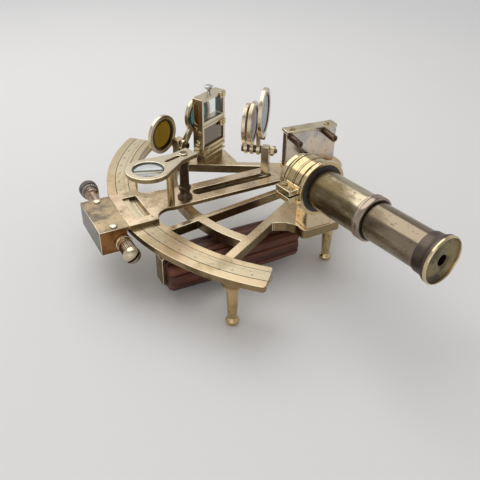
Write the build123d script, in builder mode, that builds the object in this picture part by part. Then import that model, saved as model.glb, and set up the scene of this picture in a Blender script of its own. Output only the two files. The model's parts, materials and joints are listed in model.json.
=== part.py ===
"""A brass marine sextant resting on its three legs, index arm at mid-arc.

Frame of reference: millimetres, +Z up, the legs stand on Z = 0. The index arm's pivot is the
Z axis, the limb is centred on -Y, and the telescope looks towards -X.
"""
import os
from math import cos, radians, sin, sqrt

from build123d import *

os.makedirs("parts", exist_ok=True)

# ---------------------------------------------------------------- driving dimensions
# every piece is drawn about the pivot, then moved by this much to the middle of the whole footprint
CENTRE_X = 26.536
CENTRE_Y = -73.725

# fits
TURNING_CLEARANCE = 0.05
SLIDING_GAP = 0.1

# limb and scale
LIMB_OUTER = 150.0
LIMB_WIDTH = 19.5
LIMB_HALF_SPAN = 46.5
LIMB_THICKNESS = 4.0
RECESS_INSET = 4.5
RECESS_WIDTH = 9.0
SCALE_MARGIN = 0.25
SCALE_DEPTH = 0.8
LIMB_INNER = LIMB_OUTER - LIMB_WIDTH
RECESS_INNER = LIMB_INNER + RECESS_INSET
RECESS_OUTER = RECESS_INNER + RECESS_WIDTH

# frame casting
FRAME_BOTTOM = 30.0
FRAME_DEPTH = 6.5
HUB_RADIUS = 21.0
BOSS_RADIUS = 15.0
# each rib: side of the centre line, start on the hub, angle off the centre line, width
RIBS = ((1, 0.0, 14.4, 30.0, 6.2), (-1, 0.0, 19.5, 30.0, 6.2), (1, 7.2, 0.0, 7.9, 4.0), (-1, 7.2, 0.0, 7.9, 4.0))
BRACE_HALF_SPAN = 34.0
BRACE_OUTER = 107.0
BRACE_WIDTH = 7.0
RIM_WIDTH = 4.5
RIM_DEPTH = 4.0
LEG_PAD_RADIUS = 6.4
LEG_INSET = 10.0
HANDLE_PAD_RADIUS = 7.0
HANDLE_PAD_INSET = 1.0
LUG_CORNER_RADIUS = 3.0
BRACE_INNER = BRACE_OUTER - BRACE_WIDTH
RIM_OUTER = LIMB_INNER + RIM_WIDTH
LEG_RING = LIMB_OUTER - LEG_INSET
RIB_END_RADIUS = LEG_RING + 1
HANDLE_PAD_RING = RIM_OUTER - HANDLE_PAD_INSET
SCOPE_LUG = (
    (10, -10), (46, -14), (65.6, -22), (65.6, -50), (57, -50.5), (51.5, -54.5), (48.5, -61), (47.5, -68), (36, -54),
)
HORIZON_LUG = (
    (-41, -52), (-37, -42.5), (-62, -41.5), (-69.5, -45.5), (-69.5, -50), (-58.0, -75), (-53, -75), (-47, -63),
)

# legs
LEG_ANGLE = 37.5
LEG_TOP_RADIUS = 4.3
LEG_WAIST_RADIUS = 3.1
FOOT_RADIUS = 4.2
FOOT_HEIGHT = 4.8
FOOT_FLAT_RADIUS = 2.6
LUG_LEG_X = 55.0
LUG_LEG_Y = -23.0

# pivot
PIVOT_RADIUS = 6.0
PIVOT_WASHER_RADIUS = 10.0
PIVOT_WASHER_THICKNESS = 2.0

# index arm
ARM_THICKNESS = 2.8
ARM_HALF_WIDTH = 11.4
SLOT_HALF_WIDTH = 3.8
SLOT_START = 36.5
SLOT_END = 97.0
PLATE_HALF_WIDTH = 20.8
PLATE_END = LIMB_OUTER - 0.8
WAIST_Y = 11.3 - LIMB_INNER
WAIST_X = 21.2
WAIST_RADIUS = 10.4
WINDOW_HALF_WIDTH = 13.5
WINDOW_START = RECESS_INNER - 2.1
WINDOW_END = RECESS_OUTER - 1.5
VERNIER_EDGE = RECESS_INNER + 0.4 * RECESS_WIDTH
VERNIER_THICKNESS = 1.4
TONGUE_END = PLATE_END + 14.8
TONGUE_HALF_WIDTH = 17.5
TONGUE_THICKNESS = 1.4

# tangent screw, clamp screw and their cover
COVER_START = LIMB_OUTER + 0.9
COVER_END = LIMB_OUTER + 18.5
COVER_BOTTOM = 27.0
COVER_WALL = 2.6
CARRIER_HALF_WIDTH = 14.0
CARRIER_START = LIMB_OUTER + 1.2
CARRIER_END = TONGUE_END - 0.4
CARRIER_BOTTOM = 27.6
SHOE_START = LEG_RING + 5.8
SHOE_HALF_WIDTH = 6.0
SHOE_THICKNESS = 3.0
SCREW_Y = -(LIMB_OUTER + 4.4)
SCREW_Z = 33.6
SCREW_RADIUS = 2.5
SCREW_INNER_X = 2.0
KNOB_X = 51.0
KNOB_RADIUS = 6.6
KNOB_LENGTH = 10.5
CLAMP_BARREL_X = 21.0
CLAMP_BARREL_RADIUS = 4.2
CLAMP_COLLAR_RADIUS = 5.3
CLAMP_HEAD_RADIUS = 5.4
CLAMP_TIP_X = 42.0
PIN_X = 16.8
PIN_Y = -(LIMB_OUTER + 8.4)
PIN_RADIUS = 2.2

# magnifier on its pillar
PILLAR_X = 3.2
PILLAR_Y = 26.3 - LIMB_INNER
PILLAR_RADIUS = 3.3
PILLAR_HEIGHT = 28.6
PILLAR_FOOT_RADIUS = 5.0
MAGNIFIER_ANGLE = -71.0
MAGNIFIER_REACH = 29.0
MAGNIFIER_TAIL = 7.5
MAGNIFIER_NECK = 6.0
MAGNIFIER_FLARE = 62.0
MAGNIFIER_ARM_WIDTH = 11.6
MAGNIFIER_SLOT = (9.2, 12.0, 2.6)
MAGNIFIER_NUT_RADIUS = 2.8
MAGNIFIER_NUT_HEIGHT = 0.8
MAGNIFIER_RING_RADIUS = 14.0
MAGNIFIER_LENS_RADIUS = 9.8
MAGNIFIER_THICKNESS = 3.0
MAGNIFIER_PIN_RADIUS = 2.0
REST_X = 9.2
REST_Y = 14.0 - LIMB_INNER
REST_RADIUS = 2.4

# index mirror
INDEX_MIRROR_TURN = -5.0
INDEX_MIRROR_SHIFT = -5.0
INDEX_MIRROR_WIDTH = 40.0
INDEX_PLATE_TOP = 71.6
INDEX_PLATE_BACK = 3.0
INDEX_PLATE_THICKNESS = 2.6
INDEX_GLASS_THICKNESS = 3.0
INDEX_CHEEK = 2.0
INDEX_BASE_THICKNESS = 2.4
INDEX_LIP_THICKNESS = 2.0
LIP_BACK = 4.0
LIP_FRONT = 5.2
LIP_SCREW_RADIUS = 1.7
LIP_SCREWS = ((-19.0, 0.0), (8.0, 0.0))
ADJUSTER_RADIUS = 1.9
ADJUSTER_LENGTH = 15.0
ADJUSTERS = ((-22.0, 69.6), (5.0, 69.6), (-8.5, 53.0))

# index shades
INDEX_SHADE_AXIS = 229.0
SHADE_POST_X = -2.0
SHADE_POST_Y = -40.0
SHADE_POST_SIDE = 5.6
SHADE_POST_TOP = 65.0
INDEX_AXLE_Z = 61.8
AXLE_RADIUS = 1.5
SHADE_HUB_RADIUS = 3.8
SHADE_THICKNESS = 2.6
SHADE_GLASS_THICKNESS = 1.6
SHADE_RIM = 2.6
SHADE_ARM_WIDTH = 5.0
AXLE_COLLAR_RADIUS = 2.7
SHADE_NECK = 3.0
POST_HALF = 2.8
WING_HUB_RADIUS = 2.6
WING_HUB_LENGTH = 3.6
WING_REACH = 5.4
INDEX_AXLE_ENDS = (-8.0, 17.0)
# each shade: axial offset from the post, disc radius, reach of its centre, lean from upright, crank
INDEX_SHADES = ((5.0, 16.5, 29.0, 7.0, -3.6), (9.6, 15.0, 18.4, -4.0, 0.0), (13.9, 14.2, 17.4, -7.0, 0.0))

# horizon mirror
HORIZON_X = -55.3
HORIZON_Y = -58.0
HORIZON_NORMAL = 28.0
HORIZON_WIDTH = 28.0
HORIZON_DEPTH = 8.6
HORIZON_FOOT = 7.6
HORIZON_TOP = 87.6
HORIZON_WALL = 2.2
HORIZON_SILL = 4.6
HORIZON_BAR = 2.4
HORIZON_SPLIT = 4.8
HORIZON_SPLIT_Z = 67.6
SIDE_POCKET = (68.5, 84.0)
HORIZON_GLASS_THICKNESS = 2.4
HORIZON_GLASS_FRONT = 3.4
HORIZON_CLIP_X = HORIZON_WIDTH / 2 - 3.8
HORIZON_CLIPS = (
    (HORIZON_CLIP_X, HORIZON_TOP - 2.4), (HORIZON_CLIP_X, HORIZON_SPLIT_Z - 4.0), (-HORIZON_CLIP_X, 46.4)
)
HORIZON_SIDE_SCREWS = ((-1.8, 64.6, 1.7), (1.9, 62.2, 1.7), (0.2, 54.0, 2.4), (-0.6, 48.4, 2.6))
THUMB_RADIUS = 1.5
THUMB_HEAD_RADIUS = 3.0

# horizon shades
HORIZON_POST_X = -58.2
HORIZON_POST_Y = -82.1
HORIZON_AXLE_Z = 52.0
HORIZON_POST_FOOT = (15.0, 8.4, 3.0)
HORIZON_POST_TURN = 240.0
HORIZON_AXLE_ENDS = (-8.4, 8.4)
HORIZON_SHADES = ((-4.6, 14.2, 16.4, -49.0, 0.0), (4.6, 13.5, 25.6, 43.0, 0.0))

# telescope
SCOPE_X = 67.9
SCOPE_Y = -40.5
SCOPE_Z = 66.0
SCOPE_ANGLE = 7.8
COLLAR_RADIUS = 16.2
COLLAR_LENGTH = 18.5
COLLAR_FLANGE_RADIUS = 17.8
COLLAR_FLANGE_THICKNESS = 2.6
TUBE_RADIUS = 12.7
TUBE_BORE = 11.55
TUBE_START = -21.0
TUBE_END = 44.2
TUBE_RING_RADIUS = 13.9
TUBE_RING_LENGTH = 5.6
CELL_LENGTH = 3.4
CELL_RADIUS = 13.9
CELL_BORE = 10.8
EAR_REACH = 8.0
EAR_THICKNESS = 3.4
EAR_GAP = 1.2
EAR_LENGTH = 13.0
EAR_SCREW_STATIONS = (-6.2, -12.0)
EAR_SCREW_RADIUS = 2.0
EYE_SEAT = 87.0
EYE_LENS_RADIUS = 7.0
DRAW_START = 8.0
DRAW_END = 80.5
DRAW_WALL = 0.9
EYE_FACE = 92.1
EYE_RADIUS = 14.35
EYE_HOLE_RADIUS = 3.3
POST_X = (50.5, 65.0)
POST_Y = (-47.8, -28.5)

# handle
HANDLE_X = 39.0
HANDLE_START_Y = -43.0
HANDLE_END_Y = 14.0 - LIMB_OUTER
HANDLE_WIDTH = 28.0
HANDLE_HEIGHT = 21.0
HANDLE_CENTRE_Z = 16.6
HANDLE_CORNER = 7.0
FLUTE_RADIUS = 1.2
BRACKET_WIDTH = 11.0
BRACKET_THICKNESS = 2.4

# ---------------------------------------------------------------- derived levels
FRAME_TOP = FRAME_BOTTOM + FRAME_DEPTH
LIMB_TOP = FRAME_TOP + LIMB_THICKNESS
ARM_BOTTOM = LIMB_TOP + SLIDING_GAP
ARM_TOP = ARM_BOTTOM + ARM_THICKNESS
TONGUE_TOP = ARM_BOTTOM + TONGUE_THICKNESS
PILLAR_TOP = ARM_TOP + PILLAR_HEIGHT
MIRROR_FLOOR = ARM_TOP + INDEX_BASE_THICKNESS
HORIZON_FLOOR = FRAME_TOP + HORIZON_FOOT


def save(piece, name):
    """Label a finished piece, move it to the shared origin and write its STEP file."""
    moved = Pos(-CENTRE_X, -CENTRE_Y, 0) * piece.part
    moved.label = name
    export_step(moved, f"parts/{name}.step")


def upright(x, y, z, facing):
    """Plane standing at (x, y, z): local Z points along the compass angle, local Y is up."""
    angle = radians(facing)
    return Plane(origin=(x, y, z), x_dir=(-sin(angle), cos(angle), 0), z_dir=(cos(angle), sin(angle), 0))


def rib_reach(x, y, angle, radius):
    """Length of a rib that starts at (x, y) and runs outward to a radius about the pivot."""
    forward = x * sin(radians(angle)) - y * cos(radians(angle))
    lateral = x * cos(radians(angle)) + y * sin(radians(angle))
    return sqrt(radius**2 - lateral**2) - forward


def ring_sector(inner, outer, half_span, middle=270.0):
    """Flat ring sector about the pivot."""
    with BuildSketch() as sector:
        with BuildLine():
            far = CenterArc((0, 0), outer, middle - half_span, 2 * half_span)
            near = CenterArc((0, 0), inner, middle - half_span, 2 * half_span)
            Line(far @ 0, near @ 0)
            Line(far @ 1, near @ 1)
        make_face()
    return sector.sketch


# ---------------------------------------------------------------- frame casting
with BuildPart() as frame:
    with BuildSketch(Plane.XY.offset(FRAME_BOTTOM)) as web:
        Circle(HUB_RADIUS)
        for side, x, y, angle, width in RIBS:
            with Locations(Location((side * x, y, 0), (0, 0, 270 + side * angle))):
                Rectangle(rib_reach(x, y, angle, RIB_END_RADIUS), width, align=(Align.MIN, Align.CENTER))
        add(ring_sector(BRACE_INNER, BRACE_OUTER, BRACE_HALF_SPAN))
        for outline in (SCOPE_LUG, HORIZON_LUG):
            with BuildLine():
                FilletPolyline(*outline, radius=LUG_CORNER_RADIUS, close=True)
            make_face()
        with PolarLocations(LEG_RING, 2, start_angle=270 - LEG_ANGLE, angular_range=2 * LEG_ANGLE, endpoint=True):
            Circle(LEG_PAD_RADIUS)
        with Locations((HANDLE_X, -sqrt(HANDLE_PAD_RING**2 - HANDLE_X**2))):
            Circle(HANDLE_PAD_RADIUS)
    extrude(amount=FRAME_DEPTH)
    with BuildSketch(Plane.XY.offset(FRAME_TOP - RIM_DEPTH)):
        add(ring_sector(LIMB_INNER, RIM_OUTER, LIMB_HALF_SPAN))
    extrude(amount=RIM_DEPTH)
    with BuildSketch(Plane.XY.offset(FRAME_TOP)):
        Circle(BOSS_RADIUS)
    extrude(amount=LIMB_THICKNESS)
    with Locations((0, 0, LIMB_TOP)):
        Hole(PIVOT_RADIUS + TURNING_CLEARANCE)
save(frame, "frame")

# ---------------------------------------------------------------- limb and its inlaid scale
with BuildPart() as limb:
    with BuildSketch(Plane.XY.offset(FRAME_TOP)):
        add(ring_sector(LIMB_INNER, LIMB_OUTER, LIMB_HALF_SPAN))
    extrude(amount=LIMB_THICKNESS)
    fillet(limb.edges().filter_by(Axis.Z), 2)
    with BuildSketch(Plane.XY.offset(LIMB_TOP)):
        add(ring_sector(RECESS_INNER, RECESS_OUTER, LIMB_HALF_SPAN + 1))
    extrude(amount=-SCALE_DEPTH, mode=Mode.SUBTRACT)
save(limb, "limb")

with BuildPart() as scale_arc:
    with BuildSketch(Plane.XY.offset(LIMB_TOP - SCALE_DEPTH)):
        add(ring_sector(RECESS_INNER + SCALE_MARGIN, RECESS_OUTER - SCALE_MARGIN, LIMB_HALF_SPAN))
    extrude(amount=SCALE_DEPTH)
save(scale_arc, "scale_arc")

# ---------------------------------------------------------------- legs
leg_spots = {
    "leg_right": (LEG_RING * sin(radians(LEG_ANGLE)), -LEG_RING * cos(radians(LEG_ANGLE))),
    "leg_left": (-LEG_RING * sin(radians(LEG_ANGLE)), -LEG_RING * cos(radians(LEG_ANGLE))),
    "leg_lug": (LUG_LEG_X, LUG_LEG_Y),
}
for name, (x, y) in leg_spots.items():
    with BuildPart() as leg:
        with BuildSketch(Plane(origin=(x, y, 0), x_dir=(1, 0, 0), z_dir=(0, -1, 0))):
            with BuildLine():
                Polyline(
                    (0, 0), (FOOT_FLAT_RADIUS, 0), (FOOT_RADIUS, 1.6), (FOOT_RADIUS, 3.2),
                    (LEG_WAIST_RADIUS, FOOT_HEIGHT), (LEG_TOP_RADIUS - 0.8, FRAME_BOTTOM - 3),
                    (LEG_TOP_RADIUS, FRAME_BOTTOM - 2), (LEG_TOP_RADIUS, FRAME_BOTTOM), (0, FRAME_BOTTOM),
                    close=True,
                )
            make_face()
        revolve(axis=Axis((x, y, 0), (0, 0, 1)))
    save(leg, name)

# ---------------------------------------------------------------- handle and its brackets
handle_length = HANDLE_START_Y - HANDLE_END_Y
with BuildPart() as handle:
    with BuildSketch(Plane(origin=(HANDLE_X, HANDLE_END_Y, HANDLE_CENTRE_Z), x_dir=(1, 0, 0), z_dir=(0, 1, 0))):
        RectangleRounded(HANDLE_WIDTH, HANDLE_HEIGHT, HANDLE_CORNER)
        for height in (-4.0, 0.0, 4.0):
            with Locations((HANDLE_WIDTH / 2, height), (-HANDLE_WIDTH / 2, height)):
                Circle(FLUTE_RADIUS, mode=Mode.SUBTRACT)
    extrude(amount=handle_length)
save(handle, "handle")

with BuildPart() as handle_brackets:
    for end, outward, reach in ((HANDLE_END_Y, -1, 16.0), (HANDLE_START_Y, 1, 18.0)):
        with BuildSketch(Plane(origin=(HANDLE_X, end, 0), x_dir=(0, outward, 0), z_dir=(outward, 0, 0))):
            Polygon(
                (0, HANDLE_CENTRE_Z - 7), (BRACKET_THICKNESS, HANDLE_CENTRE_Z - 7),
                (BRACKET_THICKNESS, FRAME_BOTTOM - 1.5), (BRACKET_THICKNESS - 1.5, FRAME_BOTTOM),
                (BRACKET_THICKNESS - reach, FRAME_BOTTOM),
                (BRACKET_THICKNESS - reach, FRAME_BOTTOM - BRACKET_THICKNESS),
                (0, FRAME_BOTTOM - BRACKET_THICKNESS),
                align=None,
            )
        extrude(amount=BRACKET_WIDTH / 2, both=True)
save(handle_brackets, "handle_brackets")

# ---------------------------------------------------------------- index arm
with BuildPart() as index_arm:
    with BuildSketch(Plane.XY.offset(ARM_BOTTOM)):
        Circle(HUB_RADIUS)
        with Locations((0, WAIST_Y / 2)):
            Rectangle(2 * ARM_HALF_WIDTH, -WAIST_Y)
        with Locations((0, WAIST_Y)):
            Rectangle(2 * PLATE_HALF_WIDTH, PLATE_END + WAIST_Y, align=(Align.CENTER, Align.MAX))
        with Locations((WAIST_X, WAIST_Y), (-WAIST_X, WAIST_Y)):
            Circle(WAIST_RADIUS, mode=Mode.SUBTRACT)
        with Locations((0, -(SLOT_START + SLOT_END) / 2)):
            SlotOverall(SLOT_END - SLOT_START, 2 * SLOT_HALF_WIDTH, rotation=90, mode=Mode.SUBTRACT)
        with Locations((0, -WINDOW_START)):
            Rectangle(2 * WINDOW_HALF_WIDTH, WINDOW_END - WINDOW_START, align=(Align.CENTER, Align.MAX), mode=Mode.SUBTRACT)
        Circle(PIVOT_RADIUS, mode=Mode.SUBTRACT)
    extrude(amount=ARM_THICKNESS)
    with BuildSketch(Plane.XY.offset(ARM_BOTTOM)):
        with Locations((0, -PLATE_END)):
            Rectangle(2 * TONGUE_HALF_WIDTH, TONGUE_END - PLATE_END, align=(Align.CENTER, Align.MAX))
    extrude(amount=TONGUE_THICKNESS)
save(index_arm, "index_arm")

with BuildPart() as vernier:
    with BuildSketch(Plane.XY.offset(ARM_BOTTOM)):
        with Locations((0, -WINDOW_END)):
            Rectangle(2 * WINDOW_HALF_WIDTH, WINDOW_END - WINDOW_START, align=(Align.CENTER, Align.MIN))
        Circle(VERNIER_EDGE, mode=Mode.SUBTRACT)
    extrude(amount=VERNIER_THICKNESS)
save(vernier, "vernier")

with BuildPart() as centre_pin:
    with BuildSketch(Plane.XY.offset(FRAME_BOTTOM - SLIDING_GAP)):
        Circle(PIVOT_RADIUS)
    extrude(amount=ARM_TOP - FRAME_BOTTOM + SLIDING_GAP)
save(centre_pin, "centre_pin")

with BuildPart() as pivot_washer:
    with BuildSketch(Plane.XY.offset(FRAME_BOTTOM - SLIDING_GAP)):
        Circle(PIVOT_WASHER_RADIUS)
    extrude(amount=-PIVOT_WASHER_THICKNESS)
    with BuildSketch(Plane.XY.offset(FRAME_BOTTOM - SLIDING_GAP - PIVOT_WASHER_THICKNESS)):
        Circle(4.5)
    extrude(amount=-2.2)
    chamfer(pivot_washer.edges().filter_by(GeomType.CIRCLE).sort_by(Axis.Z)[0], 0.6)
save(pivot_washer, "pivot_washer")

# ---------------------------------------------------------------- tangent screw housing
with BuildPart() as tangent_cover:
    with BuildSketch(Plane.XY.offset(COVER_BOTTOM)):
        with Locations((0, -COVER_END)):
            Rectangle(2 * PLATE_HALF_WIDTH, COVER_END - COVER_START, align=(Align.CENTER, Align.MIN))
    extrude(amount=ARM_BOTTOM - COVER_BOTTOM)
    with BuildSketch(Plane.XY.offset(ARM_BOTTOM)):
        with Locations((0, -COVER_END)):
            Rectangle(2 * PLATE_HALF_WIDTH, COVER_END - PLATE_END, align=(Align.CENTER, Align.MIN))
    extrude(amount=ARM_THICKNESS)
    with BuildSketch(Plane.XY.offset(COVER_BOTTOM)):
        with Locations((0, -TONGUE_END)):
            Rectangle(2 * (PLATE_HALF_WIDTH - COVER_WALL), TONGUE_END - PLATE_END, align=(Align.CENTER, Align.MIN))
    extrude(amount=TONGUE_TOP - COVER_BOTTOM, mode=Mode.SUBTRACT)
    with BuildSketch(Plane.YZ.offset(-PLATE_HALF_WIDTH - 1)):
        with Locations((SCREW_Y, SCREW_Z)):
            Circle(SCREW_RADIUS + TURNING_CLEARANCE)
    extrude(amount=2 * PLATE_HALF_WIDTH + 2, mode=Mode.SUBTRACT)
save(tangent_cover, "tangent_cover")

with BuildPart() as carrier:
    with BuildSketch(Plane.XY.offset(CARRIER_BOTTOM)):
        with Locations((0, -CARRIER_END)):
            Rectangle(2 * CARRIER_HALF_WIDTH, CARRIER_END - CARRIER_START, align=(Align.CENTER, Align.MIN))
    extrude(amount=ARM_BOTTOM - CARRIER_BOTTOM)
    with BuildSketch(Plane.YZ.offset(-CARRIER_HALF_WIDTH - 1)):
        with Locations((SCREW_Y, SCREW_Z)):
            Circle(SCREW_RADIUS + TURNING_CLEARANCE)
    extrude(amount=2 * CARRIER_HALF_WIDTH + 2, mode=Mode.SUBTRACT)
    with BuildSketch(Plane.XY.offset(FRAME_TOP - SLIDING_GAP)):
        with Locations((0, -CARRIER_START)):
            Rectangle(2 * SHOE_HALF_WIDTH, CARRIER_START - SHOE_START, align=(Align.CENTER, Align.MIN))
    extrude(amount=-SHOE_THICKNESS)
save(carrier, "clamp_carrier")

with BuildPart() as cover_pins:
    with BuildSketch(Plane.XY.offset(ARM_TOP)):
        with Locations((PIN_X, PIN_Y), (-PIN_X, PIN_Y)):
            Circle(PIN_RADIUS)
    extrude(amount=0.7)
save(cover_pins, "cover_pins")

with BuildPart() as tangent_screw:
    with BuildSketch(Plane(origin=(0, SCREW_Y, SCREW_Z), x_dir=(-1, 0, 0), z_dir=(0, -1, 0))):
        Polygon(
            (SCREW_INNER_X, 0), (SCREW_INNER_X, SCREW_RADIUS), (PLATE_HALF_WIDTH + 0.1, SCREW_RADIUS),
            (PLATE_HALF_WIDTH + 0.1, 4.4), (PLATE_HALF_WIDTH + 3, 4.4), (PLATE_HALF_WIDTH + 4.6, 3.4),
            (KNOB_X - 9, 3.4), (KNOB_X - 7.6, 4.8), (KNOB_X - KNOB_LENGTH / 2, 4.8), (KNOB_X - KNOB_LENGTH / 2, 0),
            align=None,
        )
    revolve(axis=Axis((0, SCREW_Y, SCREW_Z), (1, 0, 0)))
save(tangent_screw, "tangent_screw")

with BuildPart() as tangent_knob:
    with BuildSketch(Plane.YZ.offset(-KNOB_X - KNOB_LENGTH / 2)):
        with Locations((SCREW_Y, SCREW_Z)):
            Circle(KNOB_RADIUS)
    extrude(amount=KNOB_LENGTH)
    chamfer(tangent_knob.edges().filter_by(GeomType.CIRCLE), 0.8)
save(tangent_knob, "tangent_knob")

with BuildPart() as clamp_screw:
    with BuildSketch(Plane(origin=(0, SCREW_Y, SCREW_Z), x_dir=(1, 0, 0), z_dir=(0, 1, 0))):
        with BuildLine():
            dome_start = (CLAMP_TIP_X - 3.4, CLAMP_HEAD_RADIUS)
            outline = Polyline(
                (CLAMP_TIP_X, 0), (SCREW_INNER_X, 0), (SCREW_INNER_X, SCREW_RADIUS),
                (CLAMP_BARREL_X, SCREW_RADIUS), (CLAMP_BARREL_X, CLAMP_COLLAR_RADIUS),
                (CLAMP_BARREL_X + 2.6, CLAMP_COLLAR_RADIUS), (CLAMP_BARREL_X + 2.6, CLAMP_BARREL_RADIUS),
                (CLAMP_TIP_X - 6, CLAMP_BARREL_RADIUS), (CLAMP_TIP_X - 6, CLAMP_HEAD_RADIUS), dome_start,
            )
            ThreePointArc(dome_start, (CLAMP_TIP_X - 1.0, 3.9), (CLAMP_TIP_X, 0))
        make_face()
    revolve(axis=Axis((0, SCREW_Y, SCREW_Z), (1, 0, 0)))
    with BuildSketch(Plane.YZ.offset(CLAMP_TIP_X)):
        with Locations((SCREW_Y, SCREW_Z)):
            Rectangle(2 * CLAMP_HEAD_RADIUS + 2, 1.2)
    extrude(amount=-1.8, mode=Mode.SUBTRACT)
save(clamp_screw, "clamp_screw")

# ---------------------------------------------------------------- magnifier
with BuildPart() as magnifier_pillar:
    with BuildSketch(Plane(origin=(PILLAR_X, PILLAR_Y, 0), x_dir=(1, 0, 0), z_dir=(0, -1, 0))):
        Polygon(
            (0, ARM_TOP), (PILLAR_FOOT_RADIUS, ARM_TOP), (PILLAR_FOOT_RADIUS, ARM_TOP + 1.6),
            (PILLAR_RADIUS, ARM_TOP + 3), (PILLAR_RADIUS, ARM_TOP + 6.4), (PILLAR_RADIUS + 0.9, ARM_TOP + 7),
            (PILLAR_RADIUS + 0.9, ARM_TOP + 8.6), (PILLAR_RADIUS, ARM_TOP + 9.2), (PILLAR_RADIUS, PILLAR_TOP),
            (MAGNIFIER_PIN_RADIUS, PILLAR_TOP), (MAGNIFIER_PIN_RADIUS, PILLAR_TOP + MAGNIFIER_THICKNESS + 0.3),
            (0, PILLAR_TOP + MAGNIFIER_THICKNESS + 0.3),
            align=None,
        )
    revolve(axis=Axis((PILLAR_X, PILLAR_Y, 0), (0, 0, 1)))
save(magnifier_pillar, "magnifier_pillar")

magnifier_level = PILLAR_TOP + SLIDING_GAP
magnifier_x = PILLAR_X + MAGNIFIER_REACH * cos(radians(MAGNIFIER_ANGLE))
magnifier_y = PILLAR_Y + MAGNIFIER_REACH * sin(radians(MAGNIFIER_ANGLE))
flare_x = MAGNIFIER_REACH - MAGNIFIER_RING_RADIUS * cos(radians(MAGNIFIER_FLARE))
flare_y = MAGNIFIER_RING_RADIUS * sin(radians(MAGNIFIER_FLARE))
with BuildPart() as magnifier_arm:
    with BuildSketch(Plane.XY.offset(magnifier_level)):
        with Locations((magnifier_x, magnifier_y)):
            Circle(MAGNIFIER_RING_RADIUS)
        with Locations(Location((PILLAR_X, PILLAR_Y, 0), (0, 0, MAGNIFIER_ANGLE))):
            Polygon(
                (-MAGNIFIER_TAIL, -MAGNIFIER_ARM_WIDTH / 2), (MAGNIFIER_NECK, -MAGNIFIER_ARM_WIDTH / 2),
                (flare_x, -flare_y), (flare_x, flare_y),
                (MAGNIFIER_NECK, MAGNIFIER_ARM_WIDTH / 2), (-MAGNIFIER_TAIL, MAGNIFIER_ARM_WIDTH / 2),
                align=None,
            )
            with Locations((MAGNIFIER_SLOT[0], 0)):
                SlotOverall(MAGNIFIER_SLOT[1], MAGNIFIER_SLOT[2], mode=Mode.SUBTRACT)
            Circle(MAGNIFIER_PIN_RADIUS + TURNING_CLEARANCE, mode=Mode.SUBTRACT)
        with Locations((magnifier_x, magnifier_y)):
            Circle(MAGNIFIER_LENS_RADIUS, mode=Mode.SUBTRACT)
    extrude(amount=MAGNIFIER_THICKNESS)
save(magnifier_arm, "magnifier_arm")

with BuildPart() as magnifier_lens:
    with BuildSketch(Plane.XY.offset(magnifier_level + 0.6)):
        with Locations((magnifier_x, magnifier_y)):
            Circle(MAGNIFIER_LENS_RADIUS)
    extrude(amount=MAGNIFIER_THICKNESS - 1.2)
save(magnifier_lens, "magnifier_lens")

with BuildPart() as magnifier_nut:
    with BuildSketch(Plane.XY.offset(PILLAR_TOP + MAGNIFIER_THICKNESS + 0.3)):
        with Locations((PILLAR_X, PILLAR_Y)):
            Circle(MAGNIFIER_NUT_RADIUS)
    extrude(amount=MAGNIFIER_NUT_HEIGHT)
    chamfer(magnifier_nut.edges().filter_by(GeomType.CIRCLE).sort_by(Axis.Z)[-1], 0.3)
save(magnifier_nut, "magnifier_nut")

with BuildPart() as magnifier_rest:
    with BuildSketch(Plane.XY.offset(ARM_TOP)):
        with Locations((REST_X, REST_Y)):
            Circle(REST_RADIUS)
    extrude(amount=PILLAR_HEIGHT)
save(magnifier_rest, "magnifier_rest")

# ---------------------------------------------------------------- index mirror
mirror_axis = upright(0, 0, 0, INDEX_MIRROR_TURN)
glass_width = INDEX_MIRROR_WIDTH - 2 * INDEX_CHEEK


def mirror_plan(height):
    """Level plane in the index mirror's own directions: local X runs along the glass."""
    return Plane(origin=(0, 0, height), x_dir=mirror_axis.x_dir, z_dir=(0, 0, 1))


with BuildPart() as mirror_base:
    with BuildSketch(mirror_plan(ARM_TOP)):
        with Locations((INDEX_MIRROR_SHIFT, -1.5)):
            RectangleRounded(INDEX_MIRROR_WIDTH - 2, 21, 3)
    extrude(amount=INDEX_BASE_THICKNESS)
save(mirror_base, "index_mirror_base")

with BuildPart() as mirror_frame:
    with BuildSketch(mirror_plan(MIRROR_FLOOR)):
        with Locations((INDEX_MIRROR_SHIFT, -INDEX_PLATE_BACK)):
            Rectangle(
                INDEX_MIRROR_WIDTH, INDEX_PLATE_THICKNESS + INDEX_GLASS_THICKNESS, align=(Align.CENTER, Align.MIN)
            )
        with Locations((INDEX_MIRROR_SHIFT, INDEX_PLATE_THICKNESS - INDEX_PLATE_BACK)):
            Rectangle(glass_width, INDEX_GLASS_THICKNESS, align=(Align.CENTER, Align.MIN), mode=Mode.SUBTRACT)
    extrude(amount=INDEX_PLATE_TOP - MIRROR_FLOOR)
save(mirror_frame, "index_mirror_frame")

with BuildPart() as index_mirror:
    with BuildSketch(mirror_plan(MIRROR_FLOOR)):
        with Locations((INDEX_MIRROR_SHIFT, INDEX_PLATE_THICKNESS - INDEX_PLATE_BACK)):
            Rectangle(glass_width, INDEX_GLASS_THICKNESS, align=(Align.CENTER, Align.MIN))
    extrude(amount=INDEX_PLATE_TOP - MIRROR_FLOOR)
save(index_mirror, "index_mirror")

with BuildPart() as mirror_lip:
    with BuildSketch(mirror_plan(INDEX_PLATE_TOP)):
        with Locations((INDEX_MIRROR_SHIFT, -LIP_BACK)):
            Rectangle(INDEX_MIRROR_WIDTH, LIP_BACK + LIP_FRONT, align=(Align.CENTER, Align.MIN))
    extrude(amount=INDEX_LIP_THICKNESS)
save(mirror_lip, "index_mirror_lip")

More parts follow.
